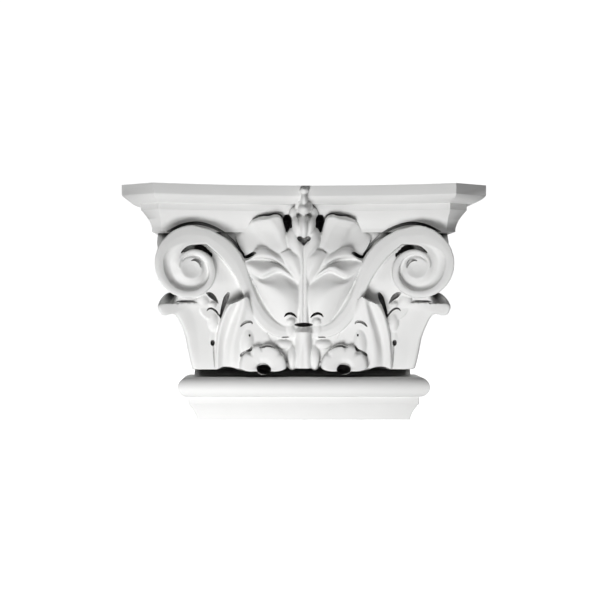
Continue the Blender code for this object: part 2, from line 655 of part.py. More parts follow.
def main():
    for old in list(bpy.data.objects):
        bpy.data.objects.remove(old, do_unlink=True)
    parts = bpy.data.collections.new("pilaster_capital")
    tools = bpy.data.collections.new("cutters")
    bpy.context.scene.collection.children.link(parts)
    bpy.context.scene.collection.children.link(tools)

    shape = fixed(carving(parts))
    for name, rings in (("abacus", abacus()), ("base", base())):
        moulding = new_object(name, [rings], tools)
        combine(shape, moulding, "UNION")
        bpy.data.objects.remove(moulding, do_unlink=True)
    hollows = new_object("hollows", drills(), tools)
    hollows.hide_render = True
    hollows.display_type = "WIRE"
    combine(shape, hollows, "DIFFERENCE")
    across = np.array([-1.0, 1.0, 1.0, -1.0]) * CUT_REACH
    behind = np.array([-1.0, -1.0, 0.0, 0.0]) * CUT_REACH
    slab = np.stack([points(across, up, behind) for up in (-CUT_REACH, HEIGHT + CUT_REACH)])
    wall = new_object("wall", [slab], tools)
    wall.hide_render = True
    wall.display_type = "WIRE"
    combine(shape, wall, "DIFFERENCE")
    shape.name = shape.data.name = "pilaster_capital"
    shape.data.materials.clear()
    shape.data.materials.append(material())


main()
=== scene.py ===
"""The visual model of the corinthian pilaster capital.

The casting is one piece. Every shape is worked out in millimetres as (across, up, out): across runs
to the right, up from the underside, and out is the distance in front of the wall face. The last step
turns that into metres with +Z up, the front facing -Y and the origin under the middle of the piece.
Leaves and grooves are drawn through places picked on the photo, which from_photo turns into
millimetres at a depth that is judged for each.
"""

import math

import bpy
import numpy as np
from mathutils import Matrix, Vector

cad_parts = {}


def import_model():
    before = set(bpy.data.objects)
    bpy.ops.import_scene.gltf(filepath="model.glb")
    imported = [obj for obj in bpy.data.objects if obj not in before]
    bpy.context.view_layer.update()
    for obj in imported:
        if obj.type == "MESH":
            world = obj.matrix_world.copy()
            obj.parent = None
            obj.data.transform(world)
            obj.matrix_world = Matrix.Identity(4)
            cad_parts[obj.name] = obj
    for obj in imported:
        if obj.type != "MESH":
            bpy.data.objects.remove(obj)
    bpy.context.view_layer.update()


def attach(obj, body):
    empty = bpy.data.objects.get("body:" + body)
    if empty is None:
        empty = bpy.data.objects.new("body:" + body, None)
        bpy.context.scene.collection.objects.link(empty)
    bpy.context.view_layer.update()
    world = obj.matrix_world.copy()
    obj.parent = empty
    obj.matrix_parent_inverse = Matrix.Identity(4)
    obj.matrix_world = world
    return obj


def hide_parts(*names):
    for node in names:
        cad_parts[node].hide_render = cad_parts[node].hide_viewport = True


# Overall sizes, mm
HEIGHT = 222.0
HORN_ACROSS = 139.0
HORN_OUT = 118.0
HORN_CANT = 31.8

# Abacus: a 60 degree hollow between the horns, over an ovolo, a fillet, a cavetto that bows by a share
# of its depth, and a last small fillet
HOLLOW_RADIUS = 2 * HORN_ACROSS
HOLLOW_CENTRE_OUT = HORN_OUT + HOLLOW_RADIUS * math.cos(math.radians(30))
FASCIA = 9.4
OVOLO = (17.4, 7.6)
OVOLO_FROM_DEGREES = 24
OVOLO_FILLET = 6.2
CAVETTO = 10.2
CAVETTO_BOW = 0.16
FOOT_FILLET = 3.0
ABACUS_UNDER = 178.8

# Base: a low cavetto that starts at a share of its depth and bends by a power, a fillet, and a bead
# above which the top dips and runs in
BASE_ACROSS = 100.9
BASE_OUT = 57.0
FOOT_CAVETTO = (8.8, 15.6)
FOOT_START = 0.1
FOOT_BEND = 1.7
BEAD_FROM = 22.3
BEAD_RADIUS = 9.45
BEAD_AXIS_SET = 8.8
BEAD_TOP_IN = 12.0
BEAD_TOP_DIP = 0.4
BASE_CORNER = 0.8

# Bell: its lip, the ends of which stand further out by a rise that lessens with height, and its
# corners; then the undercut between the leaf feet and the bead
BELL_LIP_INSET = 29.5
BELL_LIP_OUT = 56.0
BELL_END_RISE = 6.0
BELL_END_FROM = 158.0
BELL_END_SLOPE = 1.3
BELL_END_ACROSS = (106.0, 120.0)
BELL_CORNER = 5.0
NECK_ACROSS = 105.5
NECK_OUT = 22.0
LEAF_FEET = 50.2
LEAF_OUT = 61.0

# Volutes: outer radius at quarter turns from the crown of the scroll, and the eye
VOLUTE_ACROSS = 105.6
VOLUTE_UP = 144.2
VOLUTE_RADII = (40.5, 33.2, 27.6, 22.0, 17.4, 11.6)
VOLUTE_TURNS = 1.25
VOLUTE_EYE = 9.4
VOLUTE_SET_BACK = 14.0

# Cushion behind the scroll: how far its face is behind the band, and its lean towards the middle
CUSHION_BEHIND = 8.0
CUSHION_LEAN = 5.0

# Band: how far across the rim ends on the stem, as a share, what that loses in the scroll and gains
# towards the eye, the depth of the channel in the scroll and on the stem and what it loses towards the
# eye, the height of the crest, the least width, the thickness and what that loses in the scroll, and
# the share and drop of the flank there
RIM_ON_STEM = 0.96
RIM_NARROWS = 0.62
RIM_WIDENS = 0.14
CHANNEL_DEPTH = 7.0
CHANNEL_ON_STEM = 0.4
CHANNEL_RISES = 3.5
BAND_CREST = -1.0
LEAST_BAND = 0.8
BAND_THICK = 26.0
BAND_THINS = 12.0
SCROLL_FLANK = (0.03, 1.0)

# Web: the sunk field between stem and scroll
WEB_SET_BACK = 22.5
WEB_DEEPER = 7.0
WEB_DEEPER_BETWEEN = (136.0, 110.0)
WEB_BACK = 36.0
WEB_MIDDLE = (76.0, 128.0)

# Skirts under the leaves: half the width of the front one, and for the ripple of each foot its height
# and its length over one radian
SKIRT_ACROSS = 102.0
FRONT_RIPPLE = (0.35, 1.9)
SIDE_RIPPLE = (0.9, 7.5)

# Shell over the drilled eye: its reach below, what it gains above, the least half width and half
# height of its rings and what the height gains outside the eye, the angle and depth of each notch
# between lobes, their width in degrees, and what they take from the reach and from the height
SHELL_REACH = 6.9
SHELL_GAINS = 15.4
SHELL_EYE = (6.0, 4.4, 1.4)
NOTCHES = [(49.0, 1.0), (86.0, 0.7), (140.0, 0.35)]
NOTCH_WIDE = 6.0
NOTCH_SHARE = 0.12
NOTCH_SUNK = 3.0

# Sheath: how square its section is, 1 for an ellipse, and its crease's depth, width and fading out
SHEATH_SQUARE = 0.8
CREASE_DEPTH = 1.2
CREASE_WIDE = 0.1
CREASE_FADES = (78.0, 62.0)

# How far shapes run on behind the wall face before the back is cut flat, the reach of that cut,
# and how far out leaves and skirts are filled behind
RUN_BEHIND = 4.0
CUT_ACROSS = 200.0
CUT_BEHIND = 60.0
CUT_OVER = 20.0
LEAF_FILL = 42.0
CROWN_FILL = 44.0
STEM_FILL = 38.0
SKIRT_FILL = 30.0

# Places picked on the photo of 600 by 600 pixels: what one pixel covers in mm at the wall face
# and how much less for each mm out, the column of the middle line at a depth and its shift for each
# mm further out, and the row of a known level
PHOTO_PIXEL = 0.989
PHOTO_PIXEL_NEARER = 0.000602
PHOTO_MIDDLE = 303.7
PHOTO_MIDDLE_OUT = 60
PHOTO_MIDDLE_SHIFT = 0.026
PHOTO_LEVEL = 303
PHOTO_LEVEL_UP = 111.5

# Fineness: steps along each kind of curve, the grain of the skins, their triangles
PROFILE_STEPS = 16
FRONT_STEPS = 61
LEAF_STEPS = 60
BAND_STEPS = 110
BELL_STEPS = 34
SHEATH_STEPS = 36
STEM_SIDES = 16
CORNER_STEPS = 6
SPIRAL_STEPS = 80
VOLUTE_SIDES = 48
WEB_SIDES = 56
LOBE_SIDES = 32
LOBE_RINGS = 17
LOBE_REACH = 0.47
VOXEL = 0.9
DRILL_VOXEL = 0.45
CARVING_TRIANGLES = 136000
HOLLOW_TRIANGLES = 44000
SMOOTH_PASSES = 2
SMOOTH_SHARE = 0.25
SMOOTH_UNDER_DEGREES = 38.0

WALL_Y = HORN_OUT / 2
MM = 0.001

# Finish, mm: how far round a point the painted shade looks for closed-in undercuts and hollows, the
# patches of the colour's drift, eleven in 500 mm, and their swell, and the spray grain, nine in 10 mm,
# and its height. Real spray grain is finer, and this is drawn as coarse as it needs to show.
PAINTED_SHADE_REACH = 16.0
DRIFT_PATCH = 500 / 11
DRIFT_SWELL = 1.2
SPRAY_GRAIN = 10 / 9
SPRAY_HEIGHT = 0.2

# Studio, m and W: a round floor that sweeps up into a wall, the lights, and the camera
FLOOR_RADIUS = 2.5
SWEEP_RADIUS = 0.5
BACKDROP_HIGH = 3.5
SWEEP_STEPS = 24
SWEEP_SIDES = 96
BACKDROP_GLOW = 0.95
SURROUND_LIGHT = 0.09
LIGHTS = [
    # name, place, side, power
    ("key", (-0.19, -0.57, -0.265), 0.28, 4.4),
    ("back right", (1.3, 1.4, 0.6), 0.8, 12.0),
    ("back left", (-1.3, 1.4, 0.6), 0.8, 8.0),
]
LIT_POINT = (0, 0, 0.11)
CAMERA_PLACE = (-0.038, -1.591, 0.1115)
CAMERA_TARGET = (-0.0035, -0.001, 0.1144)
CAMERA_LENS = 100.2
CAMERA_SENSOR = 36.0


def through(keys, count):
    """Points read along a Catmull-Rom curve through the key points; a key may be a whole curve."""
    keys = np.asarray(keys, float)
    padded = np.concatenate([2 * keys[:1] - keys[1:2], keys, 2 * keys[-1:] - keys[-2:-1]])
    where = np.linspace(0, len(keys) - 1, count)
    span = np.minimum(where.astype(int), len(keys) - 2)
    t = (where - span).reshape((-1,) + (1,) * (keys.ndim - 1))
    a, b, c, d = (padded[span + i] for i in range(4))
    return 0.5 * (2 * b + (c - a) * t + (2 * a - 5 * b + 4 * c - d) * t**2 + (3 * b - a - 3 * c + d) * t**3)


def step(value, low, high):
    """0 below low, 1 above high, and smooth between."""
    t = np.clip((value - low) / (high - low), 0, 1)
    return t * t * (3 - 2 * t)


def unit(vectors):
    """The vectors at length one."""
    return vectors / np.maximum(np.linalg.norm(vectors, axis=-1, keepdims=True), 1e-9)


def hollow_out(across, set_back=0.0):
    """How far out the hollow front of the abacus stands at a place across: an arc of a circle."""
    return HOLLOW_CENTRE_OUT - np.sqrt((HOLLOW_RADIUS + set_back) ** 2 - np.asarray(across) ** 2)


def points(across, up, out):
    """One array of (across, up, out) rows."""
    return np.stack(np.broadcast_arrays(across, up, out), axis=-1).astype(float)


def from_photo(x, y, out):
    """Across and up, in mm to a tenth, of what a pixel of the photo shows so far out.

    The pixel is counted from the middle line and from the known level, and multiplied by what one
    pixel covers at that depth. Places are picked on the left half, so across counts leftwards here,
    and both halves are made from them.
    """
    pixel = PHOTO_PIXEL - PHOTO_PIXEL_NEARER * out
    middle = PHOTO_MIDDLE + PHOTO_MIDDLE_SHIFT * (out - PHOTO_MIDDLE_OUT)
    return np.round((middle - x) * pixel, 1), np.round(PHOTO_LEVEL_UP + (PHOTO_LEVEL - y) * pixel, 1)


def seen(x, y, out):
    """The same place as one (across, up, out) row."""
    return points(*from_photo(x, y, out), out)


def both_sides(rings_list):
    """The lofts and their mirror images across the middle."""
    return rings_list + [rings * np.array([-1.0, 1.0, 1.0]) for rings in rings_list]


def sheet(guides, along, across, back):
    """A skin drawn over guide curves by splines both ways, and filled behind as far as a depth.

    A guide is a list of places picked on the photo: pixel across, pixel down, mm out.
    """
    curves = np.stack([through(seen(*np.transpose(guide)), along) for guide in guides])
    front = through(curves, across).swapaxes(0, 1)
    rear = front[:, ::-1] * [1, 1, 0] + [0, 0, back]
    return np.concatenate([front, rear], axis=1)


def lobe(across, up, out, wide, tall, deep, lean=0.0):
    """A smooth swelling: an ellipsoid by latitude and longitude, leaning by so many degrees."""
    turn = np.linspace(0, 2 * math.pi, LOBE_SIDES + 1)[:-1]
    climb = np.linspace(-LOBE_REACH, LOBE_REACH, LOBE_RINGS)[:, None] * math.pi
    tilt = math.radians(lean)
    x = wide * np.cos(turn) * np.cos(climb)
    z = tall * np.sin(turn) * np.cos(climb)
    y = deep * np.sin(climb) * np.ones_like(turn)
    aside = x * math.cos(tilt) - z * math.sin(tilt)
    above = x * math.sin(tilt) + z * math.cos(tilt)
    return points(across + aside, up + above, out + y)


def groove(picks, count=LEAF_STEPS):
    """A cutter whose section is carried square to a spline, as wide and deep as each place says.

    Rows of the picks: pixel across, pixel down, mm out at which they are seen, and then in mm how far
    out the surface is, the half width and the depth.
    """
    picks = np.array(picks, float)
    rows = through(np.column_stack([*from_photo(*picks[:, :3].T), picks[:, 3:]]), count)
    path = rows[:, :2]
    along = unit(np.gradient(path, axis=0))
    aside = np.column_stack([-along[:, 1], along[:, 0]])
    section = [
        # share of the half width, mm above the surface or -1 for the floor
        (-1.5, 6.0), (1.5, 6.0), (1.0, 0.0), (0.7, -1.0), (-0.7, -1.0), (-1.0, 0.0),
    ]
    ring = []
    for share, level in section:
        place = path + aside * rows[:, 3:4] * share
        out = rows[:, 2] + (level if level >= 0 else -rows[:, 4])
        ring.append(points(place[:, 0], place[:, 1], out))
    return np.stack(ring, axis=1)


def abacus_outline(inset):
    """Plan of the abacus at an inset: wall corners, straight ends, canted horns and hollow front."""
    end = HORN_ACROSS + HORN_CANT - inset
    cant = HORN_ACROSS + HORN_OUT - math.sqrt(2) * inset
    radius = HOLLOW_RADIUS + inset
    lead = HOLLOW_CENTRE_OUT - cant
    horn = (math.sqrt(2 * radius**2 - lead**2) - lead) / 2
    across = radius * np.sin(np.linspace(-1, 1, FRONT_STEPS) * math.asin(horn / radius))
    front = np.column_stack([across, hollow_out(across, inset)])
    right = np.array([[end, cant - end], [end, -2 * RUN_BEHIND]])
    return np.vstack([front, right, right[::-1] * [-1, 1]])


def abacus():
    """The abacus: its plan inset step by step down the profile of fascia, ovolo, fillet and cavetto.

    The ovolo is part of a circle drawn out to its own width and drop, and the cavetto a straight
    slope bowed by half a sine wave.
    """
    top = HEIGHT - FASCIA
    quarter = np.linspace(math.radians(OVOLO_FROM_DEGREES), math.pi / 2, PROFILE_STEPS)
    bulge = (math.cos(quarter[0]) - np.cos(quarter)) / math.cos(quarter[0])
    drop = (np.sin(quarter) - math.sin(quarter[0])) / (1 - math.sin(quarter[0]))
    hollow = np.linspace(0, 1, PROFILE_STEPS)
    fillet_foot = top - OVOLO[1] - OVOLO_FILLET
    inset = np.concatenate([
        [0.0], OVOLO[0] * bulge,
        OVOLO[0] + CAVETTO * (hollow + CAVETTO_BOW * np.sin(math.pi * hollow)), [OVOLO[0] + CAVETTO],
    ])
    up = np.concatenate([
        [HEIGHT], top - OVOLO[1] * drop,
        fillet_foot - (fillet_foot - ABACUS_UNDER - FOOT_FILLET) * hollow, [ABACUS_UNDER],
    ])
    plans = [abacus_outline(d) for d in inset]
    return np.stack([points(plan[:, 0], z, plan[:, 1]) for plan, z in zip(plans, up, strict=True)])


def block(up, across, out, corner):
    """A loft of rectangles on the wall, with a quarter circle at each of the two front corners."""
    turn = np.linspace(0, math.pi / 2, CORNER_STEPS)
    rings = []
    for z, w, q, r in zip(up, across, out, corner, strict=True):
        right = points(w - r + r * np.cos(turn), z, q - r + r * np.sin(turn))
        left = right[::-1] * [-1, 1, 1]
        back = points([-w, w], z, -2 * RUN_BEHIND)
        rings.append(np.vstack([right, left, back]))
    return np.stack(rings)


def base():
    """The base moulding: cavetto, fillet and bead, returned square to the wall.

    The cavetto is set out by a power of its rise, the bead is half a circle, and the fillet is the
    straight step between them.
    """
    rise = np.linspace(0, 1, PROFILE_STEPS)
    bead = np.linspace(-0.5, 0.5, 2 * PROFILE_STEPS) * math.pi
    set_out = np.concatenate([
        FOOT_CAVETTO[0] * (FOOT_START + (1 - FOOT_START) * rise**FOOT_BEND),
        BEAD_AXIS_SET + BEAD_RADIUS * np.cos(bead), [-BEAD_TOP_IN],
    ])
    up = np.concatenate([
        FOOT_CAVETTO[1] * rise, BEAD_FROM + BEAD_RADIUS * (1 + np.sin(bead)),
        [BEAD_FROM + 2 * BEAD_RADIUS - BEAD_TOP_DIP],
    ])
    corner = np.full(len(up), BASE_CORNER)
    return block(up, BASE_ACROSS + set_out, BASE_OUT + set_out, corner)


def bell():
    """The bell: a neck in shadow, a slim waist, and a lip that takes up the hollow of the abacus.

    Its front at each height is a straight line, moved by a share towards one that follows the hollow
    as far as a limit, and the corners are cut off before the sides run back to the wall.
    """
    keys = [
        # up, half across, out, how far it has taken up the hollow
        (34.0, NECK_ACROSS, NECK_OUT, 0.0),
        (46.0, NECK_ACROSS, NECK_OUT, 0.0),
        (56.0, 101.0, 50.0, 0.0),
        (90.0, 101.0, 56.5, 0.0),
        (118.0, 107.0, 57.5, 0.05),
        (145.0, 122.0, 56.5, 0.4),
        (160.0, 136.0, 55.0, 0.85),
        (167.0, 140.5, 55.0, 1.0),
        (184.0, 140.5, 55.0, 1.0),
    ]
    ways = np.linspace(-1, 1, FRONT_STEPS)
    rings = []
    for up, half, out, share in through(keys, BELL_STEPS):
        across = ways * (half - BELL_CORNER)
        lip = np.minimum(hollow_out(across) - BELL_LIP_INSET, BELL_LIP_OUT)
        end_rise = BELL_END_RISE - BELL_END_SLOPE * (up - BELL_END_FROM)
        lip += end_rise * step(np.abs(across), *BELL_END_ACROSS)
        front = np.column_stack([across, out + np.clip(share, 0, 1) * (lip - out)])
        right = np.array([[half, front[0, 1] - BELL_CORNER], [half, -RUN_BEHIND]])
        plan = np.vstack([front, right, right[::-1] * [-1, 1]])
        rings.append(points(plan[:, 0], up, plan[:, 1]))
    return np.stack(rings)


def spiral(turn):
    """Outer radius of the scroll after so many turns from its crown: a spline, read in even steps."""
    radii = through(np.array(VOLUTE_RADII)[:, None], int(SPIRAL_STEPS * VOLUTE_TURNS) + 1)[:, 0]
    return radii[np.rint(np.asarray(turn) * SPIRAL_STEPS).astype(int)]


def band():
    """The stem that springs from the collar, swells, and winds into the scroll round its eye.

    Each section runs from the outer rail to the inner one: a hollow flank, a flat rim, a cove and
    a crest. The widths and depths of these change along the way. A place in a section is a share of
    the way between the rails, at a height over the hollow of the abacus; in the scroll both rails
    are spirals round the eye.
    """
    keys = [
        # outer rail across and up, inner rail across and up, set back, flank share, flank drop
        (8.0, 88.0, 6.0, 79.0, 21.0, 0.30, 5.0),
        (*from_photo(278.0, 320.0, 62), *from_photo(280.6, 337.0, 62), 20.0, 0.26, 4.5),
        (*from_photo(268.6, 309.5, 64), *from_photo(266.0, 331.0, 64), 19.0, 0.28, 5.0),
        (*from_photo(260.5, 296.0, 66), *from_photo(253.5, 316.0, 66), 18.0, 0.28, 5.5),
        (*from_photo(254.0, 281.0, 69), *from_photo(244.0, 296.0, 69), 17.0, 0.26, 6.0),
        (*from_photo(249.2, 268.0, 71), *from_photo(237.6, 281.0, 71), 16.2, 0.20, 5.5),
        (*from_photo(241.5, 254.0, 74), *from_photo(229.5, 268.0, 74), 15.2, 0.08, 4.0),
        (*from_photo(228.5, 240.0, 78), *from_photo(218.5, 254.5, 78), 14.6, 0.04, 1.5),
        (*from_photo(211.0, 229.5, 83), *from_photo(206.0, 243.8, 83), 14.2, 0.03, 1.0),
    ]
    rows = through(keys, BAND_STEPS)
    turns = np.linspace(0.0, 1.0, 3 * BAND_STEPS // 2) * VOLUTE_TURNS
    angle = 2 * math.pi * turns
    outer = spiral(turns)
    closing = [
        # turns from the crown, inner radius
        (0.0, 21.8), (0.04, 20.4), (0.08, 17.4), (0.11, 15.2), (0.17, 12.2), (0.25, VOLUTE_EYE),
    ]
    inner = np.minimum(np.interp(turns, *np.transpose(closing)), outer - LEAST_BAND)
    wound = np.column_stack([
        VOLUTE_ACROSS + outer * np.sin(angle), VOLUTE_UP + outer * np.cos(angle),
        VOLUTE_ACROSS + inner * np.sin(angle), VOLUTE_UP + inner * np.cos(angle),
        np.full_like(turns, VOLUTE_SET_BACK),
        np.full_like(turns, SCROLL_FLANK[0]), np.full_like(turns, SCROLL_FLANK[1]),
    ])
    rows = np.vstack([rows, wound])
    # Below 0 on the stem, and turns from the crown in the scroll
    wind = np.concatenate([np.linspace(-0.9, -0.02, BAND_STEPS), turns])[:, None]
    rim = RIM_ON_STEM - RIM_NARROWS * step(wind, -0.03, 0.2) + RIM_WIDENS * step(wind, 0.6, 0.8)
    cove = CHANNEL_ON_STEM + (CHANNEL_DEPTH - CHANNEL_ON_STEM) * step(wind, 0.02, 0.25)
    cove = cove - CHANNEL_RISES * step(wind, 0.62, 0.85)
    flank, drop = rows[:, 5:6], rows[:, 6:7]
    one = np.ones_like(wind)
    share = np.hstack([
        0 * one, 0.5 * flank, flank, 0.5 * (flank + rim), rim, rim + 0.03 * (1 - rim),
        rim + 0.09 * (1 - rim), rim + 0.2 * (1 - rim), rim + 0.38 * (1 - rim), rim + 0.62 * (1 - rim),
        rim + 0.84 * (1 - rim), one,
    ])
    height = np.hstack([
        -drop, -0.7 * drop, 0 * one, 0.7 * one, 0 * one, -0.42 * cove, -0.7 * cove, -0.94 * cove,
        -cove, -0.72 * cove, -0.18 * cove + BAND_CREST, BAND_CREST * one,
    ])
    far, near = rows[:, None, 0:2], rows[:, None, 2:4]
    rail = far + (near - far) * share[..., None]
    face = points(rail[..., 0], rail[..., 1], hollow_out(rail[..., 0]) - rows[:, 4:5] + height)
    thick = BAND_THICK - BAND_THINS * step(wind, -0.1, 0.1)
    under = face[:, [-1, 0]] - [0, 0, 1] * thick[..., None]
    return np.concatenate([face, under], axis=1)


def volute_back():
    """The cushion behind the scroll, thinning towards the wall, and the dished eye.

    The cushion is the spiral's outline scaled by a waist at each share of the way out from the wall,
    and the eye is circles that sink below the band.
    """
    turn = np.linspace(0, 2 * math.pi, VOLUTE_SIDES + 1)[:-1]
    radius = spiral(turn / (2 * math.pi))
    rings = []
    cushion = [
        # share of the way out, waist
        (-0.1, 0.8), (0.25, 0.8), (0.5, 0.84), (0.7, 0.9), (0.86, 0.96), (0.94, 0.96), (1.0, 0.9),
    ]
    for share, waist in cushion:
        reach = radius * waist
        across = VOLUTE_ACROSS - CUSHION_LEAN * (1 - share) + reach * np.sin(turn)
        face = hollow_out(VOLUTE_ACROSS + reach * np.sin(turn)) - VOLUTE_SET_BACK - CUSHION_BEHIND
        rings.append(points(across, VOLUTE_UP + reach * np.cos(turn), face * share))
    bowl = [
        # share of the eye's radius, mm above the band
        (1.08, -20.0), (1.08, -1.0), (0.9, -1.3), (0.7, -2.0), (0.4, -2.8), (0.05, -3.0),
    ]
    eye = []
    for share, dish in bowl:
        across = VOLUTE_ACROSS + VOLUTE_EYE * share * np.sin(turn)
        up = VOLUTE_UP + VOLUTE_EYE * share * np.cos(turn)
        eye.append(points(across, up, hollow_out(across) - VOLUTE_SET_BACK + dish))
    return [np.stack(rings), np.stack(eye)]


def web():
    """The sunk field between the stem and the scroll: its outline drawn in ring by ring to a middle.

    The face stands a fixed step behind the hollow of the abacus, and a little deeper lower down.
    """
    outline = [
        (80.0, 170.0), (70.0, 152.0), (58.0, 130.0), (50.0, 112.0), (58.0, 98.0), (84.0, 94.0),
        (98.0, 104.0), (96.0, 126.0), (95.0, 140.0), from_photo(212.6, 256.5, 78),
        from_photo(207.0, 248.2, 78), from_photo(203.5, 245.6, 78), (97.5, 168.5), (88.0, 172.0),
    ]
    rows = through([*outline, outline[0]], WEB_SIDES + 1)[:-1]
    share = np.array([1.0, 0.85, 0.7, 0.55, 0.4, 0.25, 0.1, 0.01])[:, None]
    across = WEB_MIDDLE[0] + (rows[:, 0] - WEB_MIDDLE[0]) * share
    up = WEB_MIDDLE[1] + (rows[:, 1] - WEB_MIDDLE[1]) * share
    high, low = WEB_DEEPER_BETWEEN
    face = points(across, up, hollow_out(across) - WEB_SET_BACK - WEB_DEEPER * step(-up, -high, -low))
    return np.concatenate([points(rows[:, 0], rows[:, 1], WEB_BACK)[None], face])


def corner_leaf():
    """The leaf that wraps the corner and turns over in a lip under the scroll.

    Sections run up the leaf and follow one another round the corner. The flare of each is a share
    of a plan vector, largest on the corner itself, and the lip rises to the scroll on the end.
    """
    edge = [(83.0, 59.5), (95.0, 61.5), (103.0, 61.0), (105.0, 52.0), (105.2, 20.0), (105.2, -RUN_BEHIND)]
    edge = through(edge, LEAF_STEPS)
    flare = [(4.0, 7.0), (17.0, 16.0), (33.0, 33.0), (25.0, 15.0), (14.0, 3.0), (12.0, 0.0)]
    flare = through(flare, LEAF_STEPS)
    fold = np.array([
        # share of the flare, then up on the corner, at the front end and at the side end
        (-0.9, 48.2, 48.2, 48.2), (-0.3, 48.2, 48.2, 48.2), (0.02, 48.6, 48.6, 48.6),
        (0.08, 52.0, 52.0, 52.0), (0.12, 57.0, 57.0, 57.0),
        (0.18, 67.0, 67.0, 67.0), (0.24, 78.0, 78.0, 78.0), (0.33, 87.0, 88.0, 88.0),
        (0.44, 95.5, 97.0, 97.0), (0.55, 100.4, 103.0, 104.0), (0.68, 101.0, 106.2, 108.0),
        (0.80, 99.6, 107.6, 110.0), (0.91, 100.4, 108.6, 113.0), (0.97, 103.4, 109.6, 116.0),
        (1.0, 106.8, 110.6, 118.6), (0.985, 109.2, 111.4, 120.2), (0.945, 110.8, 111.8, 121.2),
        (0.885, 111.3, 111.8, 121.6), (0.82, 110.2, 111.0, 121.2), (0.765, 107.8, 109.8, 120.0),
        (0.70, 106.8, 109.6, 119.0), (0.63, 108.4, 111.8, 119.2), (0.565, 112.6, 115.0, 121.0),
        (0.51, 117.0, 117.6, 122.6), (0.44, 121.0, 119.4, 124.4), (0.30, 124.6, 120.4, 125.6),
        (-0.9, 126.0, 121.0, 127.0),
    ])
    fold = through(fold, 4 * len(fold))
    place = edge[:, None] + flare[:, None] * fold[None, :, :1]
    # -1 at the front end, 0 on the corner and 1.5 at the wall
    way = np.linspace(-1, 1.5, LEAF_STEPS)[:, None]
    end = np.where(way < 0, fold[None, :, 2], fold[None, :, 3])
    rise = np.where(way < 0, step(-way, 0.0, 0.6), step(way, 0.0, 0.5))
    up = fold[None, :, 1] + (end - fold[None, :, 1]) * rise
    return points(place[..., 0], up, place[..., 1])


def front_skirt():
    """The ground of the lower leaves: a wavy foot overhanging the neck.

    The foot follows a line through its dips, less a fine cosine, and the head climbs smoothly
    outwards. Between them the ground is drawn straight from ring to ring.
    """
    across = np.linspace(-SKIRT_ACROSS, SKIRT_ACROSS, 2 * FRONT_STEPS)
    dips = [
        # across, height of the foot
        (0.0, 49.8), (20.0, 49.8), (27.0, 48.9), (32.0, 46.0), (39.0, 44.6), (46.0, 44.9), (55.0, 46.6),
        (63.0, 47.6), (70.0, 50.4), (78.0, 50.8), (86.0, 49.2), (94.0, 47.8), (103.0, 48.2),
    ]
    high, long = FRONT_RIPPLE
    foot = np.interp(np.abs(across), *np.transpose(dips)) - high * np.cos(across / long)
    head = 88.0 + 12.0 * step(np.abs(across), 30.0, 104.0)
    rings = [
        points(across, foot + 1.0, SKIRT_FILL), points(across, foot, LEAF_OUT - 6.0),
        points(across, foot + 2.5, LEAF_OUT - 3.5), points(across, 72.0, LEAF_OUT - 3.5),
        points(across, head, LEAF_OUT - 2.5), points(across, head + 5.0, SKIRT_FILL),
    ]
    return np.stack(rings, axis=1)


def side_skirt():
    """The ground of the leaf on the end of the capital: a wavy foot, and a flank that leans outward."""
    out = np.linspace(-RUN_BEHIND, LEAF_OUT - 5.0, FRONT_STEPS)
    high, long = SIDE_RIPPLE
    foot = LEAF_FEET - high * np.cos(out / long)
    rings = [
        points(92.0, foot, out), points(104.0, foot, out), points(105.0, 72.0, out),
        points(108.0, 96.0, out), points(111.0, 106.0, out), points(96.0, 114.0, out),
    ]
    return np.stack(rings, axis=1)


def middle_leaf():
    """The leaf of the second row, leaning towards the stem: an edge, a rim, a groove and a swell."""
    edge = [
        (214.4, 369.8, 57), (215.0, 350, 58), (216.4, 334, 59), (220.2, 317.5, 62), (223.6, 308, 65),
        (226.6, 303.4, 67),
    ]
    rim = [
        (217.0, 369.2, 62), (217.6, 350, 64), (219.4, 334, 66), (223.4, 318.5, 71), (227.6, 309, 76),
        (231.0, 304, 79),
    ]
    hollow = [
        (223.6, 366.6, 59.5), (224.4, 350, 59.6), (227.2, 334, 61.4), (232.0, 318.5, 65.4),
        (236.0, 308, 71.6), (238.4, 301, 77),
    ]
    swell = [
        (232, 366.8, 61), (232, 350, 64), (234.8, 334, 66.5), (239.4, 318.5, 71.5), (242.5, 306, 77),
        (243.8, 298, 80),
    ]
    root = [
        (243, 370.4, 60), (243, 350, 61.5), (245.5, 334, 63.5), (247.5, 318.5, 67.5), (248.5, 307, 73),
        (248.0, 296, 77),
    ]
    inner = [
        (272, 372.4, 57.5), (272, 352, 58), (270, 340, 59), (264, 328, 60), (256, 315, 63),
        (251.0, 302, 66),
    ]
    return sheet([edge, rim, hollow, swell, root, inner], LEAF_STEPS, LEAF_STEPS, LEAF_FILL)


def inner_lobes():
    """The lobes where the corner leaf meets the middle leaf, and the swelling beside the stem."""
    return [
        lobe(*seen(201.6, 300.6, 61), 8.8, 8.4, 11.0),
        lobe(*seen(212.6, 304.4, 60), 4.8, 4.0, 9.5),
        lobe(*seen(213.4, 321.0, 56), 6.8, 12.0, 11.0),
        lobe(*seen(211.4, 337.0, 54), 5.8, 14.0, 9.0),
        lobe(*seen(209.0, 354.0, 54), 4.6, 13.0, 7.6),
        lobe(*seen(246.6, 340.0, 56), 8.4, 19.0, 9.6),
    ]


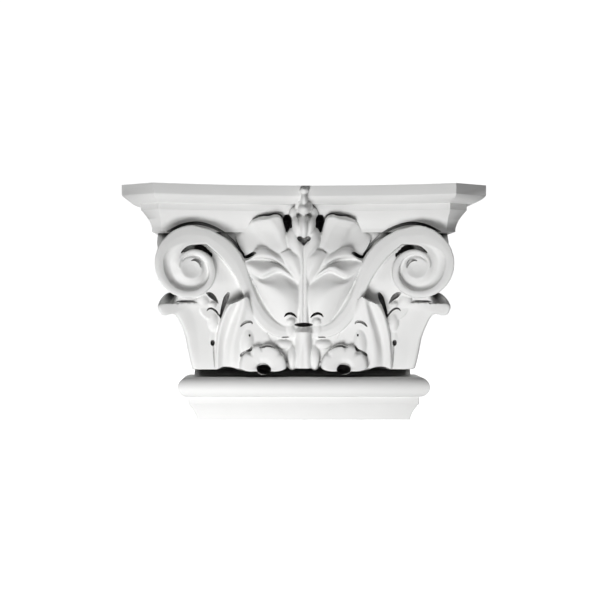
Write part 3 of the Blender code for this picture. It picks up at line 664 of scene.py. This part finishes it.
def rosette():
    """The curled tip of the lowest leaf: a shell of three lobes hanging over a drilled eye.

    Rings stand at shares of a reach that grows smoothly above the eye and is drawn in at each notch
    between lobes by a bell curve of the angle.
    """
    turn = np.linspace(0, 2 * math.pi, 6 * LOBE_SIDES + 1)[:-1]
    across, up = from_photo(263.2, 367.6, 66)
    above = step(np.sin(turn), -0.55, 0.05)
    notch = np.zeros_like(turn)
    for degrees, deep in NOTCHES:
        notch += deep * np.exp(-((np.degrees(turn) - degrees) / NOTCH_WIDE) ** 2)
    reach = (SHELL_REACH + above * SHELL_GAINS) * (1 - NOTCH_SHARE * notch)
    shell = [
        # share of the reach, height
        (0.2, -12.0), (0.2, 4.6), (0.31, 6.0), (0.44, 6.8), (0.58, 7.0), (0.72, 7.2), (0.84, 7.2),
        (0.93, 6.6), (0.985, 5.0), (1.0, 3.0), (0.98, -12.0),
    ]
    rings = []
    for share, rise in shell:
        sunk = NOTCH_SUNK * notch * step(share, 0.66, 1.0)
        wide = np.maximum(reach * share, SHELL_EYE[0])
        tall = np.maximum(reach * share, SHELL_EYE[1] + SHELL_EYE[2] * (share > 0.3))
        rings.append(points(across + wide * np.cos(turn), up + tall * np.sin(turn), LEAF_OUT + rise - sunk))
    return np.stack(rings)


def sheath():
    """The sheath on the middle line, opening above in a collar for the inner stems.

    Each level is a full ellipse, squarer than a true one, with a fine crease down its front in the
    shape of a bell curve that fades out upwards.
    """
    turn = np.linspace(0, 2 * math.pi, 2 * LOBE_SIDES + 1)[:-1]
    keys = [
        # up, half across, how far the front stands out
        (49.0, 15.2, 62.5), (60.0, 14.4, 64.0), (71.0, 12.6, 65.5), (77.0, 11.9, 66.8),
        (81.2, 12.1, 68.2), (83.4, 12.7, 69.2), (84.3, 12.5, 68.6), (88.2, 11.4, 62.6), (89.6, 9.0, 58.0),
    ]
    up, wide, out = through(keys, SHEATH_STEPS).T
    squared = np.sign(np.cos(turn)) * np.abs(np.cos(turn)) ** SHEATH_SQUARE
    high, low = CREASE_FADES
    crease = CREASE_DEPTH * np.exp(-((np.cos(turn) / CREASE_WIDE) ** 2))[None]
    crease = crease * step(-up, -high, -low)[:, None]
    front = NECK_OUT + (out - NECK_OUT)[:, None] * np.sin(turn) - crease
    return points(wide[:, None] * squared, up[:, None], front)


def foot_lobes():
    """The lobes of the small leaves on each side of the sheath, and the knobs above the collar."""
    return [
        lobe(*seen(292.0, 357.0, 54), 5.6, 13.0, 9.0),
        lobe(*seen(284.0, 344.0, 53), 10.0, 6.0, 8.6),
        lobe(*seen(290.4, 320.8, 58), 4.9, 4.2, 8.6),
        lobe(*seen(289.4, 330.0, 57), 5.6, 8.5, 5.0, 8),
    ]


def centre_stem():
    """The middle stem and the two petals it spreads into below the flower."""
    outer = [
        (298.6, 330, 58), (298.6, 300, 62.4), (299.0, 278, 64.4), (298.4, 264, 66.4), (295.8, 256, 66.6),
        (289.6, 251.5, 65), (286.0, 243, 63), (286.2, 234, 61.5), (288.6, 228.4, 60),
    ]
    ridge = [
        (300.6, 330, 62), (300.6, 300, 65.5), (301.0, 278, 67.5), (300.8, 264, 70), (298.6, 255, 71.5),
        (294.3, 248.5, 72), (290.6, 241, 72), (290.0, 233, 70.5), (291.6, 227.6, 67),
    ]
    inner = [
        (302.6, 330, 63), (302.6, 300, 66), (302.7, 278, 68), (302.6, 264, 70.5), (301.6, 254, 72),
        (298.8, 246.5, 73), (296.4, 239, 73.4), (295.4, 233, 72), (294.8, 228.6, 68),
    ]
    seam = [
        (303.9, 330, 60.5), (303.9, 300, 63.4), (304.0, 278, 65.4), (304.0, 264, 68), (304.0, 254, 70),
        (304.0, 246.4, 70.5), (299.6, 240, 69), (298.2, 234, 67), (297.4, 229.6, 64),
    ]
    half = sheet([outer, ridge, inner, seam], 2 * LEAF_STEPS, STEM_SIDES, STEM_FILL)
    return [half, half * [-1, 1, 1], lobe(0.0, 171.0, 56.0, 8.0, 9.0, 8.6)]


def inner_leaves():
    """The large leaf turned outward over the stem, the leaf above it, and the lobe at their root."""
    big_leaf = [
        # from the top edge down: each row runs from the stem to the middle line
        [
            (245.5, 259, 64), (251, 255, 63), (256, 248.4, 64), (264, 247.2, 65), (272, 250.4, 65.5),
            (280, 254.8, 65.5), (289, 259, 65),
        ],
        [
            (245.8, 260.4, 68.4), (251.6, 257, 66.5), (256.8, 250.4, 68.5), (264.4, 249.6, 69.6),
            (271.8, 252.8, 69.4), (279.4, 257, 68.4), (289.6, 263, 66),
        ],
        [
            (246, 261.2, 69.6), (252.2, 258, 68.6), (258.4, 255.8, 70.6), (265, 256.2, 71.2),
            (272, 257.4, 71), (278.6, 261.2, 69.8), (290.6, 270, 65.5),
        ],
        [
            (246.2, 262, 69), (252.8, 259.8, 66), (259.4, 259.2, 64), (266, 259.6, 63.6),
            (272.4, 261, 64), (279, 264.4, 65), (291.2, 272.6, 64.6),
        ],
        [
            (246.6, 263.4, 69.6), (253.2, 262.8, 68), (259.8, 263.6, 67), (266.8, 264.2, 67.4),
            (273.4, 264.2, 68.8), (280.4, 266.8, 68.6), (292, 274.6, 64.8),
        ],
        [
            (247, 265, 70), (253.8, 266, 70.2), (260.4, 267, 69.8), (267.6, 267, 70.4),
            (274.4, 266.6, 73), (281.6, 268.6, 71), (293, 276.4, 65),
        ],
        [
            (247.8, 267.4, 69.6), (254.4, 269.4, 71), (260.8, 271.4, 72), (268, 269.8, 72.8),
            (274.8, 268.6, 73), (282, 270.4, 70.6), (294, 278, 64.6),
        ],
        [
            (249, 270, 68.6), (255.4, 273, 70), (261.6, 275.4, 71.6), (268.6, 273, 72.2),
            (275.2, 270.2, 71.8), (282.6, 271.6, 69.6), (296, 280, 64),
        ],
        [
            (250, 272.6, 68.4), (256.4, 276, 68.2), (262.4, 278.4, 67.6), (269.2, 275.8, 66.6),
            (276, 272.4, 66.2), (283.2, 273.6, 65.8), (298, 283, 63),
        ],
        [
            (251.2, 275.6, 67.6), (257.6, 279.6, 69.4), (263.4, 281.8, 69.6), (270.6, 279.4, 68.4),
            (277.8, 276.8, 67.4), (285.6, 278.6, 66.4), (300, 286, 62.6),
        ],
        [
            (252.6, 279, 66.6), (258.6, 283, 70), (265.4, 285.8, 72), (274, 287.8, 72.6),
            (282.6, 290.6, 72), (291, 289.6, 69.5), (300.6, 292, 64.5),
        ],
        [
            (257.4, 289.5, 63), (262.6, 294, 66), (269, 298, 68.5), (277.6, 301, 70), (286.4, 302.6, 70),
            (294, 302.6, 68), (300.6, 303, 63.5),
        ],
        [
            (266.6, 308.5, 59.5), (270.8, 311.4, 61.3), (276, 314.4, 63), (282.4, 316.6, 64),
            (289.2, 317.6, 64), (294, 317, 62.6), (298.4, 316.5, 60),
        ],
        [
            (277, 325, 57.5), (280, 327, 58.4), (283.6, 328.6, 58.8), (287.4, 329.8, 58.8),
            (291, 330.2, 58.6), (295, 330.4, 58), (298.6, 330.6, 57.5),
        ],
    ]
    crown_leaf = [
        # from the far edge, flush with the bell, to the inner one: each row climbs and turns over
        [
            (250, 263, 60), (243.5, 254, 61), (239, 246, 60.5), (236.5, 239, 58.5), (237.5, 232, 55),
            (243, 226.5, 55), (248.8, 222.8, 57.5), (251.2, 220.7, 60),
        ],
        [
            (266, 263, 61.5), (261.5, 251.5, 63), (257.4, 241.5, 61), (254.6, 233.5, 60), (253, 228, 61),
            (252.6, 225, 62.8), (252, 222.6, 65), (252, 219.8, 62.5),
        ],
        [
            (276, 263, 63.5), (272, 251, 66), (267.5, 242, 65.4), (263, 234, 64.6), (260, 228.5, 65.2),
            (257, 224.6, 67.2), (254, 222, 69.5), (253.6, 219.2, 65),
        ],
        [
            (284, 262, 64.5), (281, 250.5, 67), (277, 241.5, 67), (273.5, 233, 67.5), (269.6, 227, 69),
            (265.5, 223, 71), (261.5, 220.2, 73), (261, 216.4, 67),
        ],
        [
            (288, 260, 65), (285, 248.5, 67.4), (281.6, 240, 68), (278, 232, 69.2), (274, 226, 70.8),
            (271, 221.6, 72.6), (269, 218.8, 73.8), (268.6, 215.8, 68),
        ],
        [
            (290, 259, 64.5), (287, 247.4, 66.6), (284.4, 239, 67), (281.4, 231.4, 68.4),
            (278, 225, 70.2), (275, 220, 72), (273, 216.8, 73), (273, 214.4, 67),
        ],
        [
            (291.6, 257, 63.5), (288.4, 246, 65), (286.4, 237, 65), (284.4, 230, 66.2),
            (282.4, 224, 68.4), (280.6, 219.6, 70.4), (279, 216.8, 71.4), (279.4, 214.6, 66),
        ],
        [
            (292.4, 255, 62), (289.6, 244, 62), (288, 235, 61), (286.8, 229, 61.5), (285, 222.5, 63.5),
            (283.6, 219, 65), (282, 217, 66.5), (282, 215.2, 62),
        ],
    ]
    tip_leaf = [
        # the broad tip at the root of both, lying against the middle stem
        [(279.8, 254.4, 66.4), (282.8, 260, 66.6), (287.4, 267.6, 66), (292, 275, 65), (298, 284, 63)],
        [
            (282.6, 251.8, 69), (286.4, 258, 71.4), (291, 265.6, 71), (295.6, 273.4, 68.4),
            (299.6, 282, 64.6),
        ],
        [
            (288.4, 250.2, 70), (291.8, 256.6, 73), (295.2, 264.6, 72.4), (298, 272.4, 69.6),
            (300.4, 281, 65.6),
        ],
        [(296, 251.4, 68), (299.4, 257.4, 71), (301, 265.4, 70), (301.4, 273, 68), (301.8, 281, 65.6)],
    ]
    return [
        sheet(big_leaf, LEAF_STEPS, 3 * LEAF_STEPS, LEAF_FILL),
        sheet(crown_leaf, LEAF_STEPS, LEAF_STEPS, CROWN_FILL),
        sheet(tip_leaf, LEAF_STEPS, LEAF_STEPS, LEAF_FILL),
    ]


def flower():
    """The flower on the middle of the abacus: three hanging petals, a second tier and a knob."""
    side = [
        lobe(*seen(297.2, 226.6, 66), 4.6, 10.8, 12.0, -13),
        lobe(*seen(294.4, 214.8, 60), 5.6, 8.8, 9.5),
        lobe(*seen(298.8, 203.6, 65), 3.8, 5.6, 9.5),
    ]
    middle = [
        lobe(0.0, 184.4, 64.0, 9.4, 11.6, 12.5),
        lobe(0.0, 183.6, 69.0, 4.8, 11.2, 13.5),
        lobe(0.0, 200.2, 73.0, 6.0, 5.4, 15.5),
        lobe(0.0, 209.6, 76.0, 3.5, 8.0, 13.0),
        lobe(0.0, 217.4, 80.0, 4.8, 3.6, 12.0),
    ]
    return [*middle, *both_sides(side)]


def drills():
    """Cutters for the undercut round the scroll, the deep hollows, creases and drilled eyes."""
    scroll_edge = [
        (167.5, 232.2, 84, 80, 1.2, 16.0), (181.5, 225.2, 84, 81, 1.6, 16.0),
        (198.0, 222.8, 82, 80, 1.8, 16.0), (215.5, 227.8, 80, 76, 1.7, 16.0),
        (230.6, 238.2, 77, 68, 1.6, 14.0), (243.6, 254.2, 74, 65, 1.2, 12.0),
    ]
    crescent = [
        (181.6, 253.2, 86, 90, 0.5, 5.5), (185.4, 249.6, 86, 90, 1.4, 7.5),
        (190.8, 247.4, 86, 90, 1.8, 10.0), (197.6, 247.2, 86, 90, 2.0, 15.0),
        (203.6, 249.0, 86, 90, 2.2, 18.0), (208.6, 252.6, 86, 90, 1.6, 16.0),
        (212.2, 257.4, 86, 90, 0.5, 10.0),
    ]
    hook = [
        (191.2, 260.6, 86, 88, 0.4, 4.0), (195.2, 259.8, 86, 88, 1.5, 7.0),
        (199.0, 261.4, 86, 88, 1.9, 8.0), (200.8, 265.0, 86, 88, 1.3, 7.0),
        (201.8, 270.0, 86, 88, 0.4, 4.0),
    ]
    leaf_gap = [
        (241.4, 253.0, 64, 76, 0.4, 20.0), (245.2, 256.8, 64, 76, 1.7, 25.0),
        (249.6, 255.4, 64, 74, 2.1, 19.0), (253.4, 253.4, 64, 72, 2.1, 12.0),
        (256.4, 253.4, 64, 71, 0.6, 6.0),
    ]
    shell_edge = [
        (240.4, 358.0, 60, 67, 0.5, 4.0), (241.8, 354.4, 60, 67, 1.6, 8.0),
        (246.4, 351.0, 60, 68, 1.0, 6.0), (250.2, 349.8, 60, 68, 1.6, 8.0),
        (252.8, 346.2, 60, 68, 0.9, 5.0), (257.6, 344.9, 60, 69, 0.9, 5.0),
        (262.0, 347.0, 60, 69, 1.1, 5.6), (267.0, 345.8, 60, 69, 0.9, 5.0),
        (274.4, 347.4, 60, 68, 0.9, 4.4), (280.6, 351.2, 60, 67, 0.8, 3.6),
        (284.8, 357.4, 60, 66, 0.4, 2.2), (286.2, 361.0, 60, 65, 0.2, 1.2),
    ]
    arc_mark = [
        (240.6, 326.6, 64, 66, 0.4, 1.6), (243.4, 323.6, 66, 68, 1.3, 4.2),
        (247.0, 321.8, 66, 68, 1.5, 4.8), (250.8, 321.8, 66, 67, 1.3, 4.2),
        (252.8, 324.0, 64, 65, 0.4, 1.6),
    ]
    knob_arc = [
        (284.2, 317.0, 60, 66, 0.4, 8.0), (286.6, 314.2, 60, 66, 1.1, 11.0),
        (290.2, 313.4, 60, 66, 1.3, 11.0), (293.8, 314.8, 60, 66, 1.3, 11.0),
        (297.0, 317.6, 60, 66, 0.5, 9.0),
    ]
    notch = [
        (280.3, 337.3, 60, 64, 0.3, 4.0), (283.4, 337.1, 60, 64, 0.7, 7.0),
        (287.0, 337.1, 60, 64, 0.7, 7.0), (289.8, 336.9, 60, 64, 0.3, 4.0),
    ]
    corner_crease = [
        (213.8, 344.0, 60, 64, 0.7, 3.6), (214.0, 352.0, 60, 62, 0.9, 2.6),
        (214.6, 367.0, 60, 62, 0.5, 2.4),
    ]
    sheath_crease = [
        (301.8, 350.0, 60, 67, 0.3, 1.4), (302.6, 358.0, 60, 66.5, 0.7, 2.4),
        (303.4, 367.5, 60, 66, 0.4, 2.4),
    ]
    flower_side = [
        (286.6, 214.4, 62, 76, 2.4, 30.0), (287.2, 218.6, 62, 76, 4.6, 38.0),
        (287.6, 223.0, 62, 76, 4.4, 38.0), (287.4, 227.6, 62, 76, 2.8, 36.0),
        (287.0, 232.6, 62, 76, 0.7, 32.0),
    ]
    knob_gap = [
        (206.4, 292.6, 66, 76, 0.6, 8.0), (210.0, 294.4, 66, 76, 2.7, 15.5),
        (213.6, 297.2, 66, 76, 2.8, 16.5), (216.6, 300.8, 66, 76, 1.5, 15.0),
        (219.2, 304.8, 66, 76, 0.4, 12.0),
    ]
    wedge = [
        (229.0, 292.4, 64, 76, 1.5, 15.0), (226.4, 297.8, 64, 74, 2.9, 20.0),
        (223.8, 305.0, 62, 74, 2.3, 21.0), (221.8, 312.0, 62, 74, 1.7, 21.0),
        (220.6, 318.6, 62, 72, 0.5, 17.0),
    ]
    arch = [
        (207.0, 311.0, 62, 68, 0.3, 3.0), (209.4, 308.6, 62, 68, 0.9, 6.0),
        (213.0, 308.8, 62, 69, 1.1, 8.0), (216.6, 311.6, 62, 69, 1.1, 9.0),
        (220.0, 316.6, 62, 69, 0.6, 9.0),
    ]
    bowl = [
        (176.0, 301.4, 86, 82, 0.3, 5.0), (181.0, 301.2, 84, 80, 0.9, 7.0),
        (187.0, 301.0, 76, 78, 0.9, 7.0), (193.0, 301.0, 72, 76, 0.8, 6.5),
        (197.4, 301.2, 70, 75, 0.3, 4.0),
    ]
    crown_edge = [
        (252.8, 220.4, 66, 72, 0.3, 7.0), (255.4, 217.0, 66, 72, 0.7, 9.0),
        (260.0, 215.6, 66, 72, 0.9, 11.0), (267.0, 215.4, 66, 72, 1.0, 12.0),
        (271.0, 214.8, 66, 72, 1.0, 12.0), (275.0, 213.6, 66, 72, 0.9, 12.0),
        (280.0, 214.8, 66, 72, 1.0, 14.0), (284.0, 219.4, 66, 72, 1.2, 16.0),
    ]
    side = [
        groove(scroll_edge, 2 * LEAF_STEPS), groove(knob_gap), groove(wedge), groove(arch),
        groove(crescent), groove(hook), groove(bowl), groove(crown_edge), groove(leaf_gap),
        groove(shell_edge, 2 * LEAF_STEPS), lobe(*seen(236.4, 293.2, 82.5), 10.8, 6.0, 11.0, -12),
        groove(arc_mark), groove(knob_arc), groove(notch), groove(corner_crease),
        groove(sheath_crease), groove(flower_side),
        lobe(*seen(212.8, 342.8, 62), 2.1, 3.0, 6.0),
        lobe(*seen(249.7, 335.2, 66), 1.0, 1.5, 4.6),
        lobe(*seen(264.0, 369.3, 62), 7.2, 4.7, 18.0),
        lobe(*seen(300.3, 238.8, 71), 3.1, 2.5, 6.0, 20),
    ]
    middle = [
        lobe(0.0, 171.4, 71.0, 3.2, 2.0, 6.0), lobe(0.0, 90.8, 62.0, 9.2, 2.1, 10.0),
        lobe(0.0, 194.9, 88.0, 5.8, 1.0, 9.0),
    ]
    return [*middle, *both_sides(side)]


def lofted(name, rings_list):
    """An object of closed lofts, filled from whole arrays of vertices and faces.

    Ring i, corner j of a loft is joined to corner j+1 and to ring i+1 in quads, and the first and
    last rings are closed by one face each. The winding is turned round where the volume is negative.
    """
    verts, faces, start = [], [], 0
    for rings in rings_list:
        stations, corners, _ = rings.shape
        placed = np.stack([rings[..., 0], WALL_Y - rings[..., 2], rings[..., 1]], axis=-1) * MM
        index = start + np.arange(stations * corners).reshape(stations, corners)
        after = np.roll(index, -1, axis=1)
        quads = np.stack([index[:-1], after[:-1], after[1:], index[1:]], axis=-1).reshape(-1, 4)
        caps = [index[0][::-1].tolist(), index[-1].tolist()]
        flat = placed.reshape(-1, 3)
        corners_of = flat[quads - start]
        half_1 = np.einsum("ij,ij->i", corners_of[:, 0], np.cross(corners_of[:, 1], corners_of[:, 2]))
        half_2 = np.einsum("ij,ij->i", corners_of[:, 0], np.cross(corners_of[:, 2], corners_of[:, 3]))
        volume = half_1.sum() + half_2.sum()
        for cap in caps:
            ring = flat[np.array(cap) - start]
            fan = np.cross(ring[1:-1], ring[2:])
            volume += (ring[0] * fan).sum()
        loops = quads.tolist() + caps
        faces += loops if volume > 0 else [loop[::-1] for loop in loops]
        verts.append(flat)
        start += len(flat)
    mesh = bpy.data.meshes.new(name)
    mesh.from_pydata(np.concatenate(verts).tolist(), [], faces)
    mesh.update()
    shape = bpy.data.objects.new(name, mesh)
    bpy.context.scene.collection.objects.link(shape)
    return shape


def fixed(shape):
    """The object with its modifiers turned into mesh."""
    bpy.context.view_layer.update()
    depsgraph = bpy.context.evaluated_depsgraph_get()
    data = bpy.data.meshes.new_from_object(shape.evaluated_get(depsgraph))
    shape.modifiers.clear()
    shape.data = data
    return shape


def grown(name, rings_list, grain):
    """Lofts that run into each other, grown together into one closed skin of a given grain in mm."""
    shape = lofted(name, rings_list)
    remesh = shape.modifiers.new("grown together", "REMESH")
    remesh.mode = "VOXEL"
    remesh.voxel_size = grain * MM
    return fixed(shape)


def combine(shape, other, operation):
    """A Boolean of the object with another, which is then removed."""
    boolean = shape.modifiers.new(operation.lower(), "BOOLEAN")
    boolean.operation = operation
    boolean.solver = "EXACT"
    boolean.object = other
    fixed(shape)
    bpy.data.objects.remove(other, do_unlink=True)


def thinned(shape, triangles):
    """The object with its mesh thinned to about so many triangles."""
    sides = np.zeros(len(shape.data.polygons), int)
    shape.data.polygons.foreach_get("loop_total", sides)
    thin = shape.modifiers.new("thinned", "DECIMATE")
    thin.ratio = min(1.0, triangles / (sides - 2).sum())
    return fixed(shape)


def carving():
    """All the carved work grown together into one fine skin, then thinned."""
    sides = [
        band(), *volute_back(), web(), corner_leaf(), side_skirt(), middle_leaf(), *inner_lobes(),
        rosette(), *foot_lobes(), *inner_leaves(),
    ]
    middle = [bell(), front_skirt(), sheath(), *centre_stem(), *flower()]
    shape = grown("pilaster_casting", [*middle, *both_sides(sides)], VOXEL)
    smooth = shape.modifiers.new("smoothed", "LAPLACIANSMOOTH")
    smooth.iterations = SMOOTH_PASSES
    smooth.lambda_factor = SMOOTH_SHARE
    return thinned(fixed(shape), CARVING_TRIANGLES)


def casting():
    """The whole casting: the carving with its exact mouldings, drilled, and cut flat at the wall."""
    shape = carving()
    combine(shape, lofted("abacus", [abacus()]), "UNION")
    combine(shape, lofted("base", [base()]), "UNION")
    hollows = thinned(grown("hollows", drills(), DRILL_VOXEL), HOLLOW_TRIANGLES)
    combine(shape, hollows, "DIFFERENCE")
    across = np.array([-1.0, 1.0, 1.0, -1.0]) * CUT_ACROSS
    behind = np.array([-1.0, -1.0, 0.0, 0.0]) * CUT_BEHIND
    wall = np.stack([points(across, up, behind) for up in (-CUT_OVER, HEIGHT + CUT_OVER)])
    combine(shape, lofted("wall", [wall]), "DIFFERENCE")
    shape.data.polygons.foreach_set("use_smooth", np.ones(len(shape.data.polygons), bool))
    shape.data.set_sharp_from_angle(angle=math.radians(SMOOTH_UNDER_DEGREES))
    even = shape.modifiers.new("even shading", "WEIGHTED_NORMAL")
    even.keep_sharp = True
    return shape


def linear(hex_colour):
    """An sRGB hex colour as linear red, green, blue and full alpha."""
    parts = [int(hex_colour[i : i + 2], 16) / 255 for i in (0, 2, 4)]
    return (*((c / 12.92) if c <= 0.04045 else ((c + 0.055) / 1.055) ** 2.4 for c in parts), 1.0)


def add(tree, kind, links=(), settings=(), **inputs):
    """A node with its settings and input values, and its inputs linked to the sockets given."""
    node = tree.nodes.new(kind)
    for name, value in dict(settings).items():
        setattr(node, name, value)
    for name, value in inputs.items():
        node.inputs[name.replace("_", " ")].default_value = value
    for name, socket in dict(links).items():
        tree.links.new(socket, node.inputs[name])
    return node


def primed_foam():
    """Moulded rigid polyurethane foam with its matt white factory primer, sprayed on thinly.

    The colour drifts a little over centimetres. The deepest undercuts and hollows get painted shade, a
    near black mixed in by how closed in they are, and the film has a very fine spray grain.
    """
    primer = bpy.data.materials.new("white_primer")
    primer.use_nodes = True
    tree = primer.node_tree
    drift_scale = 1 / (DRIFT_PATCH * MM)
    grain_scale = 1 / (SPRAY_GRAIN * MM)
    shader = tree.nodes["Principled BSDF"]
    shader.inputs["Metallic"].default_value = 0.0
    shader.inputs["Specular IOR Level"].default_value = 0.4
    place = tree.nodes.new("ShaderNodeTexCoord").outputs["Object"]
    drift = add(tree, "ShaderNodeTexNoise", {"Vector": place}, Scale=drift_scale, Detail=3.0, Roughness=0.5)
    tint = add(tree, "ShaderNodeMix", {"Factor": drift.outputs["Fac"]}, {"data_type": "RGBA"})
    tint.inputs[6].default_value = linear("e6e6e5")
    tint.inputs[7].default_value = linear("eeeeed")
    # Painted shade: ambient occlusion sets how far the base colour goes towards near black in undercuts and
    # deep hollows
    painted_shade_occlusion = add(tree, "ShaderNodeAmbientOcclusion", (), {"samples": 8}, Distance=PAINTED_SHADE_REACH * MM)
    reach = add(
        tree, "ShaderNodeMapRange", {"Value": painted_shade_occlusion.outputs["AO"]},
        {"interpolation_type": "SMOOTHSTEP"}, From_Min=0.12, From_Max=0.5,
    )
    coat_and_painted_shade = add(
        tree, "ShaderNodeMix", {"Factor": reach.outputs["Result"], 7: tint.outputs[2]},
        {"data_type": "RGBA"},
    )
    # The near black of the painted shade in the hollows
    coat_and_painted_shade.inputs[6].default_value = linear("262422")
    tree.links.new(coat_and_painted_shade.outputs[2], shader.inputs["Base Color"])
    grain = add(tree, "ShaderNodeTexNoise", {"Vector": place}, Scale=grain_scale, Detail=2.0, Roughness=0.6)
    rough = add(tree, "ShaderNodeMapRange", {"Value": grain.outputs["Fac"]}, To_Min=0.5, To_Max=0.66)
    tree.links.new(rough.outputs["Result"], shader.inputs["Roughness"])
    spray = add(
        tree, "ShaderNodeBump", {"Height": grain.outputs["Fac"]}, Strength=0.12, Distance=SPRAY_HEIGHT * MM,
    )
    swell = add(
        tree, "ShaderNodeBump", {"Height": drift.outputs["Fac"], "Normal": spray.outputs["Normal"]},
        Strength=0.2, Distance=DRIFT_SWELL * MM,
    )
    tree.links.new(swell.outputs["Normal"], shader.inputs["Normal"])
    return primer


def backdrop_paint():
    """Matt white paper, lit from itself: the sweep of the studio backdrop."""
    paper = bpy.data.materials.new("studio_paper")
    paper.use_nodes = True
    shader = paper.node_tree.nodes["Principled BSDF"]
    shader.inputs["Base Color"].default_value = linear("f4f4f4")
    shader.inputs["Roughness"].default_value = 0.9
    shader.inputs["Emission Color"].default_value = linear("ffffff")
    shader.inputs["Emission Strength"].default_value = BACKDROP_GLOW
    return paper


def backdrop():
    """Floor and wall in one: a flat round floor, a quarter circle and an upright, turned full circle."""
    rise = np.linspace(0, math.pi / 2, SWEEP_STEPS)
    reach = FLOOR_RADIUS + SWEEP_RADIUS * np.append(np.sin(rise), 1.0)
    up = np.append(SWEEP_RADIUS * (1 - np.cos(rise)), BACKDROP_HIGH)
    turn = np.linspace(0, 2 * math.pi, SWEEP_SIDES + 1)[:-1]
    verts = np.stack(np.broadcast_arrays(
        reach[:, None] * np.cos(turn), reach[:, None] * np.sin(turn), up[:, None],
    ), axis=-1).reshape(-1, 3)
    index = np.arange(len(verts)).reshape(len(reach), len(turn))
    after = np.roll(index, -1, axis=1)
    quads = np.stack([index[:-1], after[:-1], after[1:], index[1:]], axis=-1).reshape(-1, 4)
    mesh = bpy.data.meshes.new("backdrop")
    mesh.from_pydata(verts.tolist(), [], [index[0].tolist(), *quads[:, ::-1].tolist()])
    mesh.polygons.foreach_set("use_smooth", np.ones(len(mesh.polygons), bool))
    mesh.update()
    sweep = bpy.data.objects.new("backdrop", mesh)
    bpy.context.scene.collection.objects.link(sweep)
    sweep.data.materials.append(backdrop_paint())
    sweep.visible_shadow = False
    sweep.visible_diffuse = False
    return sweep


def aim(thing, place, target):
    """Puts a camera or light at a place and turns it to look at a target."""
    thing.location = place
    thing.rotation_euler = (Vector(target) - Vector(place)).to_track_quat("-Z", "Y").to_euler()
    bpy.context.scene.collection.objects.link(thing)


def area_light(name, place, size, watts):
    """A square studio light, turned to the lit point."""
    lamp = bpy.data.lights.new(name, "AREA")
    lamp.size = size
    lamp.energy = watts
    light = bpy.data.objects.new(name, lamp)
    aim(light, place, LIT_POINT)


def studio():
    """Even surrounding light, a soft key low on the left, weaker lights behind, and the camera."""
    world = bpy.data.worlds.new("studio")
    world.use_nodes = True
    sky = world.node_tree.nodes["Background"]
    sky.inputs["Color"].default_value = linear("ffffff")
    sky.inputs["Strength"].default_value = SURROUND_LIGHT
    bpy.context.scene.world = world
    for name, place, size, watts in LIGHTS:
        area_light(name, place, size, watts)
    lens = bpy.data.cameras.new("camera")
    lens.lens = CAMERA_LENS
    lens.sensor_width = CAMERA_SENSOR
    camera = bpy.data.objects.new("camera", lens)
    aim(camera, CAMERA_PLACE, CAMERA_TARGET)
    bpy.context.scene.camera = camera
    bpy.context.scene.view_settings.view_transform = "Standard"


def main():
    """The casting in its primer, riding on the root, and the studio round it."""
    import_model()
    capital = casting()
    capital.data.materials.clear()
    capital.data.materials.append(primed_foam())
    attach(capital, "root")
    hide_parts("pilaster_capital")
    backdrop()
    studio()


main()
